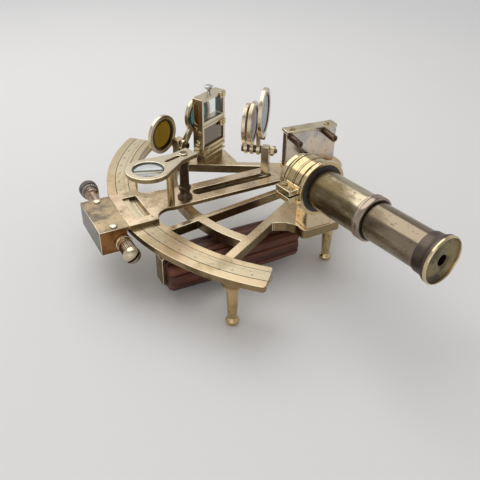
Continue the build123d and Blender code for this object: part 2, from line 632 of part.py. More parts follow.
with BuildPart() as mirror_screws:
    with BuildSketch(upright(0, 0, 0, INDEX_MIRROR_TURN).offset(INDEX_PLATE_BACK)):
        with Locations(*ADJUSTERS):
            Circle(ADJUSTER_RADIUS)
    extrude(amount=ADJUSTER_LENGTH)
    with BuildSketch(mirror_plan(INDEX_PLATE_TOP + INDEX_LIP_THICKNESS)):
        with Locations(*LIP_SCREWS):
            Circle(LIP_SCREW_RADIUS)
    extrude(amount=0.9)
save(mirror_screws, "index_mirror_screws")


# ---------------------------------------------------------------- sun shades
def shade(name, glass_name, facing, hinge, offset, radius, reach, lean, crank):
    """Write one hinged shade: a ringed disc with its arm and hub, and the glass inside it."""
    hub_plane = upright(*hinge, facing).offset(offset - SHADE_THICKNESS / 2)
    disc_plane = hub_plane.offset(crank)
    centre = (reach * sin(radians(lean)), reach * cos(radians(lean)))
    arm_turn = Location((0, 0, 0), (0, 0, -lean))
    neck = reach - radius - SHADE_NECK
    with BuildPart() as ring:
        with BuildSketch(hub_plane):
            Circle(SHADE_HUB_RADIUS)
            with Locations(arm_turn):
                Rectangle(SHADE_ARM_WIDTH, reach - radius + SHADE_RIM / 2, align=(Align.CENTER, Align.MIN))
            Circle(AXLE_RADIUS + TURNING_CLEARANCE, mode=Mode.SUBTRACT)
        extrude(amount=SHADE_THICKNESS)
        if crank:
            with BuildSketch(disc_plane):
                with Locations(arm_turn):
                    with Locations((0, neck)):
                        Rectangle(SHADE_ARM_WIDTH, SHADE_NECK + SHADE_RIM / 2, align=(Align.CENTER, Align.MIN))
            extrude(amount=SHADE_THICKNESS - crank)
        with BuildSketch(disc_plane):
            with Locations(centre):
                Circle(radius)
        extrude(amount=SHADE_THICKNESS)
        with BuildSketch(disc_plane):
            with Locations(centre):
                Circle(radius - SHADE_RIM)
        extrude(amount=SHADE_THICKNESS, mode=Mode.SUBTRACT)
    save(ring, name)
    with BuildPart() as glass:
        with BuildSketch(disc_plane.offset((SHADE_THICKNESS - SHADE_GLASS_THICKNESS) / 2)):
            with Locations(centre):
                Circle(radius - SHADE_RIM)
        extrude(amount=SHADE_GLASS_THICKNESS)
    save(glass, glass_name)


def axle(name, facing, hinge, low_steps, high_steps, low_end, high_end):
    """Write a hinge pin along a compass angle: thin through the post and in each shade, thick between."""
    angle = radians(facing)
    along = Plane(origin=hinge, x_dir=(cos(angle), sin(angle), 0), z_dir=(sin(angle), -cos(angle), 0))
    half = SHADE_THICKNESS / 2 + SLIDING_GAP
    seats = [(offset - half, offset + half) for offset in low_steps]
    seats += [(-POST_HALF, POST_HALF)]
    seats += [(offset - half, offset + half) for offset in high_steps]
    outline = [(low_end, 0), (low_end, AXLE_COLLAR_RADIUS if low_steps else AXLE_RADIUS)]
    for low, high in seats if low_steps else seats[1:]:
        outline += [(low, AXLE_COLLAR_RADIUS), (low, AXLE_RADIUS), (high, AXLE_RADIUS), (high, AXLE_COLLAR_RADIUS)]
    if not low_steps:
        outline[2:2] = [(POST_HALF, AXLE_RADIUS), (POST_HALF, AXLE_COLLAR_RADIUS)]
    outline += [(high_end, AXLE_COLLAR_RADIUS), (high_end, 0)]
    with BuildPart() as pin:
        with BuildSketch(along):
            Polygon(*outline, align=None)
        revolve(axis=Axis(hinge, (cos(angle), sin(angle), 0)))
    save(pin, name)


index_hinge = (SHADE_POST_X, SHADE_POST_Y, INDEX_AXLE_Z)
with BuildPart() as index_post:
    with BuildSketch(Plane.XY.offset(ARM_TOP)):
        with Locations(Location((SHADE_POST_X, SHADE_POST_Y, 0), (0, 0, INDEX_SHADE_AXIS))):
            Rectangle(SHADE_POST_SIDE, SHADE_POST_SIDE)
    extrude(amount=SHADE_POST_TOP - ARM_TOP)
    with BuildSketch(upright(*index_hinge, INDEX_SHADE_AXIS).offset(-SHADE_POST_SIDE)):
        Circle(AXLE_RADIUS)
    extrude(amount=2 * SHADE_POST_SIDE, mode=Mode.SUBTRACT)
save(index_post, "index_shade_post")
axle("index_shade_axle", INDEX_SHADE_AXIS, index_hinge, (), [row[0] for row in INDEX_SHADES], *INDEX_AXLE_ENDS)
for number, row in enumerate(INDEX_SHADES, 1):
    shade(f"index_shade_{number}", f"index_shade_glass_{number}", INDEX_SHADE_AXIS, index_hinge, *row)

with BuildPart() as wing_nut:
    with BuildSketch(upright(*index_hinge, INDEX_SHADE_AXIS).offset(-SHADE_POST_SIDE / 2 - SLIDING_GAP)):
        Circle(WING_HUB_RADIUS)
        Circle(AXLE_RADIUS + TURNING_CLEARANCE, mode=Mode.SUBTRACT)
    extrude(amount=-WING_HUB_LENGTH)
    with BuildSketch(upright(*index_hinge, INDEX_SHADE_AXIS).offset(-SHADE_POST_SIDE / 2 - SLIDING_GAP - 1)):
        with Locations((WING_REACH / 2 + 1.2, 0), (-WING_REACH / 2 - 1.2, 0)):
            RectangleRounded(WING_REACH - 1, 3.0, 1.2)
    extrude(amount=-WING_HUB_LENGTH + 1)
save(wing_nut, "index_wing_nut")

horizon_hinge = (HORIZON_POST_X, HORIZON_POST_Y, HORIZON_AXLE_Z)
with BuildPart() as horizon_post:
    with BuildSketch(Plane.XY.offset(FRAME_TOP)):
        with Locations(Location((HORIZON_POST_X, HORIZON_POST_Y, 0), (0, 0, HORIZON_POST_TURN))):
            RectangleRounded(HORIZON_POST_FOOT[0], HORIZON_POST_FOOT[1], 2)
    extrude(amount=HORIZON_POST_FOOT[2])
    with BuildSketch(Plane.XY.offset(FRAME_TOP)):
        with Locations(Location((HORIZON_POST_X, HORIZON_POST_Y, 0), (0, 0, HORIZON_NORMAL))):
            Rectangle(SHADE_POST_SIDE, 7.6)
    extrude(amount=HORIZON_AXLE_Z + 4 - FRAME_TOP)
    with BuildSketch(upright(*horizon_hinge, HORIZON_NORMAL).offset(-SHADE_POST_SIDE)):
        Circle(AXLE_RADIUS)
    extrude(amount=2 * SHADE_POST_SIDE, mode=Mode.SUBTRACT)
save(horizon_post, "horizon_shade_post")
near_shade, far_shade = [row[0] for row in HORIZON_SHADES]
axle("horizon_shade_axle", HORIZON_NORMAL, horizon_hinge, [near_shade], [far_shade], *HORIZON_AXLE_ENDS)
for number, row in enumerate(HORIZON_SHADES, 1):
    shade(f"horizon_shade_{number}", f"horizon_shade_glass_{number}", HORIZON_NORMAL, horizon_hinge, *row)

# ---------------------------------------------------------------- horizon mirror
horizon_face = upright(HORIZON_X, HORIZON_Y, 0, HORIZON_NORMAL)
with BuildPart() as horizon_base:
    with BuildSketch(Plane.XY.offset(FRAME_TOP)):
        with Locations(Location((HORIZON_X, HORIZON_Y, 0), (0, 0, HORIZON_NORMAL))):
            RectangleRounded(HORIZON_DEPTH - 1.2, HORIZON_WIDTH - 3, 1.5)
    extrude(amount=HORIZON_FOOT)
save(horizon_base, "horizon_base")

inner_width = HORIZON_WIDTH - 2 * HORIZON_WALL
sill_top = HORIZON_FLOOR + HORIZON_SILL
bar_bottom = HORIZON_SPLIT_Z - HORIZON_SPLIT / 2
bar_top = HORIZON_SPLIT_Z + HORIZON_SPLIT / 2
head_bottom = HORIZON_TOP - HORIZON_BAR
with BuildPart() as horizon_frame:
    with BuildSketch(horizon_face):
        with Locations((0, HORIZON_FLOOR)):
            Rectangle(HORIZON_WIDTH, HORIZON_TOP - HORIZON_FLOOR, align=(Align.CENTER, Align.MIN))
        for low, high in ((sill_top, bar_bottom), (bar_top, head_bottom)):
            with Locations((0, low)):
                Rectangle(inner_width, high - low, align=(Align.CENTER, Align.MIN), mode=Mode.SUBTRACT)
    extrude(amount=HORIZON_DEPTH / 2, both=True)
    with BuildSketch(Plane.XY.offset(HORIZON_TOP)):
        with Locations((HORIZON_X, HORIZON_Y)):
            Circle(THUMB_RADIUS + TURNING_CLEARANCE)
    extrude(amount=-HORIZON_BAR - 1, mode=Mode.SUBTRACT)
    with BuildSketch(upright(HORIZON_X, HORIZON_Y, 0, HORIZON_NORMAL - 90).offset(HORIZON_WIDTH / 2)):
        with Locations((-1.0, (SIDE_POCKET[0] + SIDE_POCKET[1]) / 2)):
            SlotOverall(SIDE_POCKET[1] - SIDE_POCKET[0], 4.6, rotation=90)
    extrude(amount=-0.9, mode=Mode.SUBTRACT)
    with BuildSketch(horizon_face.offset(HORIZON_DEPTH / 2)):
        with Locations((0, HORIZON_SPLIT_Z - 0.4)):
            Rectangle(HORIZON_WIDTH - 2, 0.9)
    extrude(amount=-1.0, mode=Mode.SUBTRACT)
save(horizon_frame, "horizon_frame")

for name, low, high in (("horizon_mirror", sill_top, bar_bottom), ("horizon_clear_glass", bar_top, head_bottom)):
    with BuildPart() as pane:
        with BuildSketch(horizon_face.offset(HORIZON_GLASS_FRONT - HORIZON_GLASS_THICKNESS)):
            with Locations((0, low)):
                Rectangle(inner_width, high - low, align=(Align.CENTER, Align.MIN))
        extrude(amount=HORIZON_GLASS_THICKNESS)
    save(pane, name)

with BuildPart() as horizon_clips:
    with BuildSketch(horizon_face.offset(HORIZON_DEPTH / 2)):
        for x, z in HORIZON_CLIPS:
            with Locations((x, z)):
                RectangleRounded(7, 4.4, 1)
    extrude(amount=1.2)
    with BuildSketch(horizon_face.offset(HORIZON_DEPTH / 2 + 1.2)):
        with Locations(*HORIZON_CLIPS):
            Circle(1.5)
    extrude(amount=0.8)
    for depth, height, radius in HORIZON_SIDE_SCREWS:
        with BuildSketch(upright(HORIZON_X, HORIZON_Y, 0, HORIZON_NORMAL - 90).offset(HORIZON_WIDTH / 2)):
            with Locations((depth, height)):
                Circle(radius)
        extrude(amount=1.1)
save(horizon_clips, "horizon_clips")

with BuildPart() as thumb_screw:
    with BuildSketch(Plane(origin=(HORIZON_X, HORIZON_Y, 0), x_dir=(1, 0, 0), z_dir=(0, -1, 0))):
        Polygon(
            (0, head_bottom + 0.2), (THUMB_RADIUS, head_bottom + 0.2), (THUMB_RADIUS, HORIZON_TOP + 1),
            (THUMB_RADIUS, HORIZON_TOP + 2.6), (2.0, HORIZON_TOP + 3.2), (THUMB_HEAD_RADIUS, HORIZON_TOP + 4.2),
            (THUMB_HEAD_RADIUS, HORIZON_TOP + 5.8), (THUMB_HEAD_RADIUS - 0.6, HORIZON_TOP + 6.4), (0, HORIZON_TOP + 6.4),
            align=None,
        )
    revolve(axis=Axis((HORIZON_X, HORIZON_Y, 0), (0, 0, 1)))
save(thumb_screw, "horizon_thumb_screw")

# ---------------------------------------------------------------- telescope
scope_angle = radians(SCOPE_ANGLE)
scope_axis = Axis((SCOPE_X, SCOPE_Y, SCOPE_Z), (cos(scope_angle), sin(scope_angle), 0))
scope_plane = Plane(
    origin=(SCOPE_X, SCOPE_Y, SCOPE_Z),
    x_dir=(cos(scope_angle), sin(scope_angle), 0),
    z_dir=(sin(scope_angle), -cos(scope_angle), 0),
)
scope_across = upright(SCOPE_X, SCOPE_Y, SCOPE_Z, SCOPE_ANGLE)

with BuildPart() as telescope_post:
    with BuildSketch(Plane.XY.offset(FRAME_TOP)):
        with Locations((sum(POST_X) / 2, sum(POST_Y) / 2)):
            RectangleRounded(POST_X[1] - POST_X[0], POST_Y[1] - POST_Y[0], 2.5)
    extrude(amount=SCOPE_Z - FRAME_TOP)
    with BuildSketch(scope_across.offset(-2 * COLLAR_LENGTH)):
        Circle(COLLAR_RADIUS)
    extrude(amount=3 * COLLAR_LENGTH, mode=Mode.SUBTRACT)
    with BuildSketch(scope_across.offset(-COLLAR_FLANGE_THICKNESS)):
        Circle(COLLAR_FLANGE_RADIUS)
    extrude(amount=COLLAR_LENGTH, mode=Mode.SUBTRACT)
save(telescope_post, "telescope_post")

with BuildPart() as telescope_collar:
    with BuildSketch(scope_plane):
        Polygon(
            (0, TUBE_RADIUS), (0, COLLAR_FLANGE_RADIUS), (-COLLAR_FLANGE_THICKNESS, COLLAR_FLANGE_RADIUS),
            (-COLLAR_FLANGE_THICKNESS, COLLAR_RADIUS), (-COLLAR_LENGTH + 0.6, COLLAR_RADIUS),
            (-COLLAR_LENGTH, COLLAR_RADIUS - 0.6), (-COLLAR_LENGTH, TUBE_RADIUS),
            align=None,
        )
    revolve(axis=scope_axis)
    with BuildSketch(scope_across.offset(-COLLAR_FLANGE_THICKNESS)):
        with Locations((-(COLLAR_RADIUS - 1.5), 0)):
            Rectangle(EAR_REACH + 1.5, 2 * EAR_THICKNESS + EAR_GAP, align=(Align.MAX, Align.CENTER))
    extrude(amount=-EAR_LENGTH)
    with BuildSketch(scope_across.offset(-COLLAR_FLANGE_THICKNESS)):
        with Locations((-TUBE_RADIUS - 0.5, 0)):
            Rectangle(EAR_REACH + 8, EAR_GAP, align=(Align.MAX, Align.CENTER))
    extrude(amount=-EAR_LENGTH, mode=Mode.SUBTRACT)
save(telescope_collar, "telescope_collar")

with BuildPart() as collar_screws:
    for station in EAR_SCREW_STATIONS:
        base = scope_plane.origin + scope_plane.x_dir * station - scope_across.x_dir * (COLLAR_RADIUS + EAR_REACH / 2)
        with BuildSketch(Plane(origin=base + (0, 0, EAR_GAP / 2 + EAR_THICKNESS), z_dir=(0, 0, 1))):
            Circle(EAR_SCREW_RADIUS)
        extrude(amount=2.2)
save(collar_screws, "collar_screws")

with BuildPart() as telescope_tube:
    with BuildSketch(scope_plane):
        Polygon(
            (TUBE_START, TUBE_BORE), (TUBE_START, TUBE_RADIUS), (TUBE_END - TUBE_RING_LENGTH, TUBE_RADIUS),
            (TUBE_END - TUBE_RING_LENGTH, TUBE_RING_RADIUS), (TUBE_END - 0.6, TUBE_RING_RADIUS),
            (TUBE_END, TUBE_RING_RADIUS - 0.6), (TUBE_END, TUBE_BORE),
            align=None,
        )
    revolve(axis=scope_axis)
save(telescope_tube, "telescope_tube")

with BuildPart() as objective_cell:
    with BuildSketch(scope_plane):
        Polygon(
            (TUBE_START - CELL_LENGTH, CELL_BORE), (TUBE_START - CELL_LENGTH, CELL_RADIUS - 0.5),
            (TUBE_START - CELL_LENGTH + 0.5, CELL_RADIUS), (TUBE_START, CELL_RADIUS), (TUBE_START, CELL_BORE),
            align=None,
        )
    revolve(axis=scope_axis)
save(objective_cell, "objective_cell")

with BuildPart() as objective_lens:
    with BuildSketch(scope_across.offset(TUBE_START - CELL_LENGTH + 0.8)):
        Circle(CELL_BORE)
    extrude(amount=CELL_LENGTH - 1.2)
save(objective_lens, "objective_lens")

draw_radius = TUBE_BORE - TURNING_CLEARANCE
with BuildPart() as draw_tube:
    with BuildSketch(scope_plane):
        Polygon(
            (DRAW_START, draw_radius - DRAW_WALL), (DRAW_START, draw_radius), (DRAW_END, draw_radius),
            (DRAW_END, draw_radius - DRAW_WALL),
            align=None,
        )
    revolve(axis=scope_axis)
save(draw_tube, "draw_tube")

with BuildPart() as eyepiece:
    with BuildSketch(scope_plane):
        with BuildLine():
            Polyline(
                (EYE_FACE - 3.2, EYE_RADIUS), (EYE_FACE - 0.4, EYE_RADIUS), (EYE_FACE, EYE_RADIUS - 0.4),
                (EYE_FACE, EYE_RADIUS - 1.4), (EYE_FACE - 0.7, EYE_RADIUS - 1.8), (EYE_FACE - 0.7, EYE_HOLE_RADIUS),
                (EYE_SEAT, EYE_HOLE_RADIUS), (EYE_SEAT, EYE_LENS_RADIUS), (DRAW_END, EYE_LENS_RADIUS),
                (DRAW_END, draw_radius),
            )
            ThreePointArc(
                (DRAW_END, draw_radius), (DRAW_END + 4.6, draw_radius + 0.7), (EYE_FACE - 3.2, EYE_RADIUS)
            )
        make_face()
    revolve(axis=scope_axis)
save(eyepiece, "eyepiece")

with BuildPart() as eye_lens:
    with BuildSketch(scope_across.offset(EYE_SEAT)):
        Circle(EYE_LENS_RADIUS)
    extrude(amount=-2)
save(eye_lens, "eye_lens")
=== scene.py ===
"""A brass marine sextant on its three legs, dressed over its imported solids.

Lengths are written in millimetres about the index arm's pivot, as the instrument is drawn, and
are turned into metres in the shared frame by `spot`. The arm at mid-arc runs along -Y and the
telescope looks towards -X.
"""
import json
import logging
import math
from dataclasses import dataclass, field
from enum import Enum
from typing import Sequence

import bmesh
import bpy
from mathutils import Matrix, Vector
from mathutils.geometry import delaunay_2d_cdt


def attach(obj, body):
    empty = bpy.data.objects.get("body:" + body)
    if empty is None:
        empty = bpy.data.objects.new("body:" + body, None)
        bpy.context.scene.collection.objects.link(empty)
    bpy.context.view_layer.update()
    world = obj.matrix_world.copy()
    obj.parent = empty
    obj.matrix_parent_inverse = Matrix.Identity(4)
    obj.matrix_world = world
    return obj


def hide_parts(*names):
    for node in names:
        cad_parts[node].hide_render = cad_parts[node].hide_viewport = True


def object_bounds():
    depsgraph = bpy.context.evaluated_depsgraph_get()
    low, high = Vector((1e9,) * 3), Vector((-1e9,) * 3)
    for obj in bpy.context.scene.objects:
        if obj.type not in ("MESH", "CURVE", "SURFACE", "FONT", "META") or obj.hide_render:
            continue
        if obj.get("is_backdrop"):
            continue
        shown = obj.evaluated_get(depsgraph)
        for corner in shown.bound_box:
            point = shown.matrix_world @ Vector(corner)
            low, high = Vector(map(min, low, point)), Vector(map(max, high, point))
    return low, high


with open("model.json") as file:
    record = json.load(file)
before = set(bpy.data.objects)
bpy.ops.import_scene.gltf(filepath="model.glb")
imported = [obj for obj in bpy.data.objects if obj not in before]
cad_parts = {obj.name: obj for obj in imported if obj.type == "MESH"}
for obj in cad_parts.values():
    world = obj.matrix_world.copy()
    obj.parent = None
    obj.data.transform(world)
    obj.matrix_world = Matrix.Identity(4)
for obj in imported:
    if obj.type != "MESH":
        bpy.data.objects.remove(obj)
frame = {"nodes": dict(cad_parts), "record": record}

logger = logging.getLogger("sextant")

MM = 0.001
PIVOT = Vector((-26.536, 73.725, 0.0))
UP = Vector((0.0, 0.0, 1.0))
EAST = Vector((1.0, 0.0, 0.0))
NORTH = Vector((0.0, 1.0, 0.0))
# Edges sharper than this many degrees are rounded, by this many faces.
EASED_ABOVE = 30.0
EASED_FACES = 2
# Vertices of new shapes this near in metres are one.
SAME_PLACE = 1e-7
# The same for the solids' meshes, whose faces within these many degrees of each other are one flat.
CAD_SAME_PLACE = 4e-6
CAD_FLAT_WITHIN = 0.4
# A flat face with more corners than this is cut into triangles.
MOST_CORNERS = 60
# The triangulation's kind that gives the triangles inside a face and leaves its holes open.
HOLES_OPEN = 2
# A face is upright where its normal's Z is under the first, and looks along a direction where their
# dot product is over the second; such faces take the side finishes, mostly painted shade.
UPRIGHT_BELOW = 0.6
FACING_ABOVE = 0.75
Colour = tuple[float, float, float]
Point = tuple[float, float, float]
Profile = Sequence[tuple[float, float]]


def spot(x: float, y: float, z: float) -> Vector:
    """Turn a place in millimetres about the pivot into metres in the shared frame."""
    return (PIVOT + Vector((x, y, z))) * MM


def compass(degrees: float) -> Vector:
    """Level unit vector along a compass angle, counted from +X."""
    return Vector((math.cos(math.radians(degrees)), math.sin(math.radians(degrees)), 0.0))


def faded(colour: Colour, share: float) -> Colour:
    """A colour times one number."""
    return tuple(share * part for part in colour)


def rectangle(half_width: float, low: float, high: float) -> Profile:
    """Outline of a rectangle that is centred across."""
    return ((-half_width, low), (half_width, low), (half_width, high), (-half_width, high))


# ---------------------------------------------------------------- node trees
class Num:
    """A number socket whose arithmetic adds Math nodes to its tree."""

    def __init__(self, graph: "Graph", socket: bpy.types.NodeSocket) -> None:
        """Hold the socket and the graph that it belongs to."""
        self.graph = graph
        self.socket = socket

    def math(self, operation: str, *operands: "Num | float") -> "Num":
        """Add one Math node.

        Args:
            operation: the Math node's operation.
            operands: everything that the node gets, in order, with this number among them.

        Returns:
            The node's result.
        """
        node = self.graph.add("ShaderNodeMath", {"operation": operation}, dict(enumerate(operands)))
        return Num(self.graph, node.outputs[0])

    def __add__(self, other: "Num | float") -> "Num":
        """Sum."""
        return self.math("ADD", self, other)

    def __radd__(self, other: float) -> "Num":
        """Reflected sum."""
        return self.math("ADD", other, self)

    def __rsub__(self, other: float) -> "Num":
        """Difference from a plain number."""
        return self.math("SUBTRACT", other, self)

    def __mul__(self, other: "Num | float") -> "Num":
        """Product."""
        return self.math("MULTIPLY", self, other)

    def __rmul__(self, other: float) -> "Num":
        """Reflected product."""
        return self.math("MULTIPLY", other, self)

    def __mod__(self, other: "Num | float") -> "Num":
        """Remainder."""
        return self.math("MODULO", self, other)

    def below(self, limit: float) -> "Num":
        """1 where the value is under the limit, else 0."""
        return self.math("LESS_THAN", self, limit)

    def sine(self) -> "Num":
        """Sine of an angle in radians."""
        return self.math("SINE", self)

    def cosine(self) -> "Num":
        """Cosine of an angle in radians."""
        return self.math("COSINE", self)

    def ramp(self, low: float, high: float) -> "Num":
        """0 below low, 1 above high and a smooth step between."""
        return self.graph.num(
            "ShaderNodeMapRange", {"interpolation_type": "SMOOTHSTEP"},
            {"Value": self, "From Min": low, "From Max": high}, output="Result",
        )


class Graph:
    """A shader or geometry node tree that is written one node at a time."""

    def __init__(self, tree: bpy.types.NodeTree) -> None:
        """Hold the tree."""
        self.tree = tree

    def add(self, kind: str, settings: dict | None = None, inputs: dict | None = None) -> bpy.types.Node:
        """Add a node of any type.

        Args:
            kind: the node's type name.
            settings: properties that are set first.
            inputs: socket name or index to a value, a Num or an output socket.

        Returns:
            The new node.
        """
        node = self.tree.nodes.new(kind)
        for name, value in (settings or {}).items():
            setattr(node, name, value)
        for key, value in (inputs or {}).items():
            source = value.socket if isinstance(value, Num) else value
            if isinstance(source, bpy.types.NodeSocket):
                self.tree.links.new(source, node.inputs[key])
            else:
                node.inputs[key].default_value = source
        return node

    def num(self, kind: str, settings: dict | None = None, inputs: dict | None = None,
            output: int | str = 0) -> Num:
        """Add a node and wrap one of its outputs as a number."""
        return Num(self, self.add(kind, settings, inputs).outputs[output])


class Recipe(Graph):
    """A material under construction."""

    def __init__(self, name: str) -> None:
        """Start an empty material.

        Args:
            name: the material's name.
        """
        self.material = bpy.data.materials.new(name)
        self.material.use_nodes = True
        self.material.node_tree.nodes.clear()
        super().__init__(self.material.node_tree)
        self.place = self.add("ShaderNodeTexCoord").outputs["Object"]

    def stretched(self, scale: Point, turn: float = 0.0) -> bpy.types.NodeSocket:
        """Object coordinates drawn out along axes that are turned by degrees about Z.

        Args:
            scale: how far the pattern is drawn out along each axis.
            turn: the axes' turn.

        Returns:
            The coordinates' socket.
        """
        settings = {"vector_type": "TEXTURE"}
        inputs = {"Vector": self.place, "Rotation": (0.0, 0.0, math.radians(turn)), "Scale": scale}
        return self.add("ShaderNodeMapping", settings, inputs).outputs[0]

    def noise(self, scale: float, detail: float = 4.0, vector: bpy.types.NodeSocket | None = None) -> Num:
        """Fractal noise in 0..1 on the object's own coordinates."""
        inputs = {"Vector": vector or self.place, "Scale": scale, "Detail": detail, "Roughness": 0.6}
        return self.num("ShaderNodeTexNoise", {"noise_dimensions": "3D"}, inputs)

    def blend(self, factor: Num, low: bpy.types.NodeSocket | Colour,
              high: bpy.types.NodeSocket | Colour) -> bpy.types.NodeSocket:
        """Mix two colours by a number.

        Args:
            factor: 0 gives low and 1 gives high.
            low: colour or link.
            high: colour or link.

        Returns:
            The mixed colour's socket.
        """
        ends = [(*end, 1.0) if isinstance(end, tuple) else end for end in (low, high)]
        node = self.add("ShaderNodeMix", {"data_type": "RGBA"}, {0: factor, 6: ends[0], 7: ends[1]})
        return node.outputs[2]

    def surface(self, inputs: dict, bump: Num | None = None, depth: float = 0.0) -> bpy.types.Material:
        """Finish the material with a Principled shader.

        Args:
            inputs: the shader's values and links.
            bump: height that feeds the normal, if any.
            depth: the bump's depth in metres.

        Returns:
            The material.
        """
        if bump is not None:
            node = self.add("ShaderNodeBump", None, {"Strength": 0.6, "Distance": depth, "Height": bump})
            inputs = {**inputs, "Normal": node.outputs[0]}
        shader = self.add("ShaderNodeBsdfPrincipled", None, inputs)
        self.add("ShaderNodeOutputMaterial", None, {"Surface": shader.outputs[0]})
        return self.material


# ---------------------------------------------------------------- finishes
class Brush(Enum):
    """Which way a surface was rubbed: how far the pattern is drawn out along X, and the axes' turn."""

    NONE = (1.0, 0.0)
    SCOPE = (9.0, 7.8)


@dataclass(frozen=True)
class Brass:
    """Aged brass: rubbed metal under drifting tarnish and blush, with small dark spots.

    `age` is the share of tarnish and spots, and the last five numbers are how fine the patterns are.
    """

    name: str
    bright: Colour
    tarnish: Colour
    dark: Colour = (0.07, 0.048, 0.026)
    roughness: float = 0.26
    age: float = 0.5
    warmth: Colour = (1.0, 0.90, 0.84)
    brush: Brush = Brush.NONE
    patch: float = 34.0
    mottle: float = 150.0
    blush: float = 21.0
    speck: float = 330.0
    scratch: float = 900.0

    def make(self) -> bpy.types.Material:
        """Build the material.

        Returns:
            The material.
        """
        recipe = Recipe(self.name)
        reach, turn = self.brush.value
        drawn = recipe.stretched((max(1.0, reach / 3.0), 1.0, 1.0), turn)
        clouds = recipe.noise(self.patch, 6.0, drawn) * 0.82 + recipe.noise(self.mottle, 4.0, drawn) * 0.18
        stain = clouds.ramp(0.58 - 0.22 * self.age, 0.70 - 0.12 * self.age)
        blush = recipe.noise(self.blush, 3.0, drawn).ramp(0.50, 0.68)
        specks = recipe.noise(self.speck, 3.0).ramp(0.66 - 0.10 * self.age, 0.76 - 0.06 * self.age)
        spots = specks * (0.3 + 0.5 * self.age)
        rubbed = recipe.noise(self.scratch, 2.0, recipe.stretched((reach, 1.0, 1.0), turn))
        warm = tuple(part * tone for part, tone in zip(self.bright, self.warmth))
        metal = recipe.blend(stain, recipe.blend(blush, self.bright, warm), self.tarnish)
        rough = stain * 0.14 + rubbed * 0.06 + spots * 0.2 + (self.roughness - 0.05)
        return recipe.surface(
            {"Base Color": recipe.blend(spots, metal, self.dark), "Roughness": rough, "Metallic": 1.0},
            bump=rubbed * 0.16 + clouds * 0.8, depth=0.00006,
        )


@dataclass(frozen=True)
class Timber:
    """Oiled rosewood with its grain along Y; the figure's and the pores' sizes are in metres."""

    name: str
    light: Colour
    deep: Colour
    pore: Colour = (0.008, 0.004, 0.003)
    figure_size: Point = (0.0067, 0.11, 0.0067)
    pore_size: Point = (0.00067, 0.0167, 0.00067)

    def make(self) -> bpy.types.Material:
        """Build the material.

        Returns:
            The material.
        """
        recipe = Recipe(self.name)
        figure = recipe.noise(1.0, 5.0, recipe.stretched(self.figure_size))
        pores = recipe.noise(1.0, 3.0, recipe.stretched(self.pore_size))
        streak = figure.ramp(0.38, 0.66)
        wood = recipe.blend(streak, self.deep, self.light)
        return recipe.surface(
            {
                "Base Color": recipe.blend(pores.ramp(0.60, 0.72), wood, self.pore),
                "Roughness": 0.36 + 0.14 * streak, "Specular IOR Level": 0.32,
                "Coat Weight": 0.08, "Coat Roughness": 0.12,
            },
            bump=pores * 0.6 + figure * 0.4, depth=0.00008,
        )


@dataclass(frozen=True)
class Glass:
    """Tinted or clear optical glass with a trace of dust."""

    name: str
    tint: Colour
    haze: float = 0.02
    ior: float = 1.15

    def make(self) -> bpy.types.Material:
        """Build the material.

        Returns:
            The material.
        """
        recipe = Recipe(self.name)
        dust = recipe.noise(300.0, 5.0)
        return recipe.surface(
            {
                "Base Color": recipe.blend(dust.ramp(0.35, 0.8), self.tint, faded(self.tint, 0.93)),
                "Roughness": dust * 0.03 + self.haze, "Transmission Weight": 1.0, "IOR": self.ior,
            }
        )


@dataclass(frozen=True)
class Silvering:
    """A looking-glass surface with patches of foxing."""

    name: str
    tint: Colour
    bare: Colour = (0.42, 0.38, 0.32)

    def make(self) -> bpy.types.Material:
        """Build the material.

        Returns:
            The material.
        """
        recipe = Recipe(self.name)
        foxing = recipe.noise(110.0, 6.0).ramp(0.60, 0.72)
        colour = recipe.blend(foxing, self.tint, self.bare)
        return recipe.surface({"Base Color": colour, "Roughness": foxing * 0.2 + 0.03, "Metallic": 1.0})


@dataclass(frozen=True)
class Plain:
    """A dull dark surface: blued steel, blacking or engraver's wax."""

    name: str
    base: Colour
    worn: Colour
    roughness: float
    metallic: float = 0.0

    def make(self) -> bpy.types.Material:
        """Build the material.

        Returns:
            The material.
        """
        recipe = Recipe(self.name)
        wear = recipe.noise(260.0, 5.0).ramp(0.45, 0.7)
        return recipe.surface(
            {
                "Base Color": recipe.blend(wear, self.base, self.worn), "Metallic": self.metallic,
                "Roughness": wear * 0.12 + self.roughness,
            },
            bump=wear, depth=0.00003,
        )


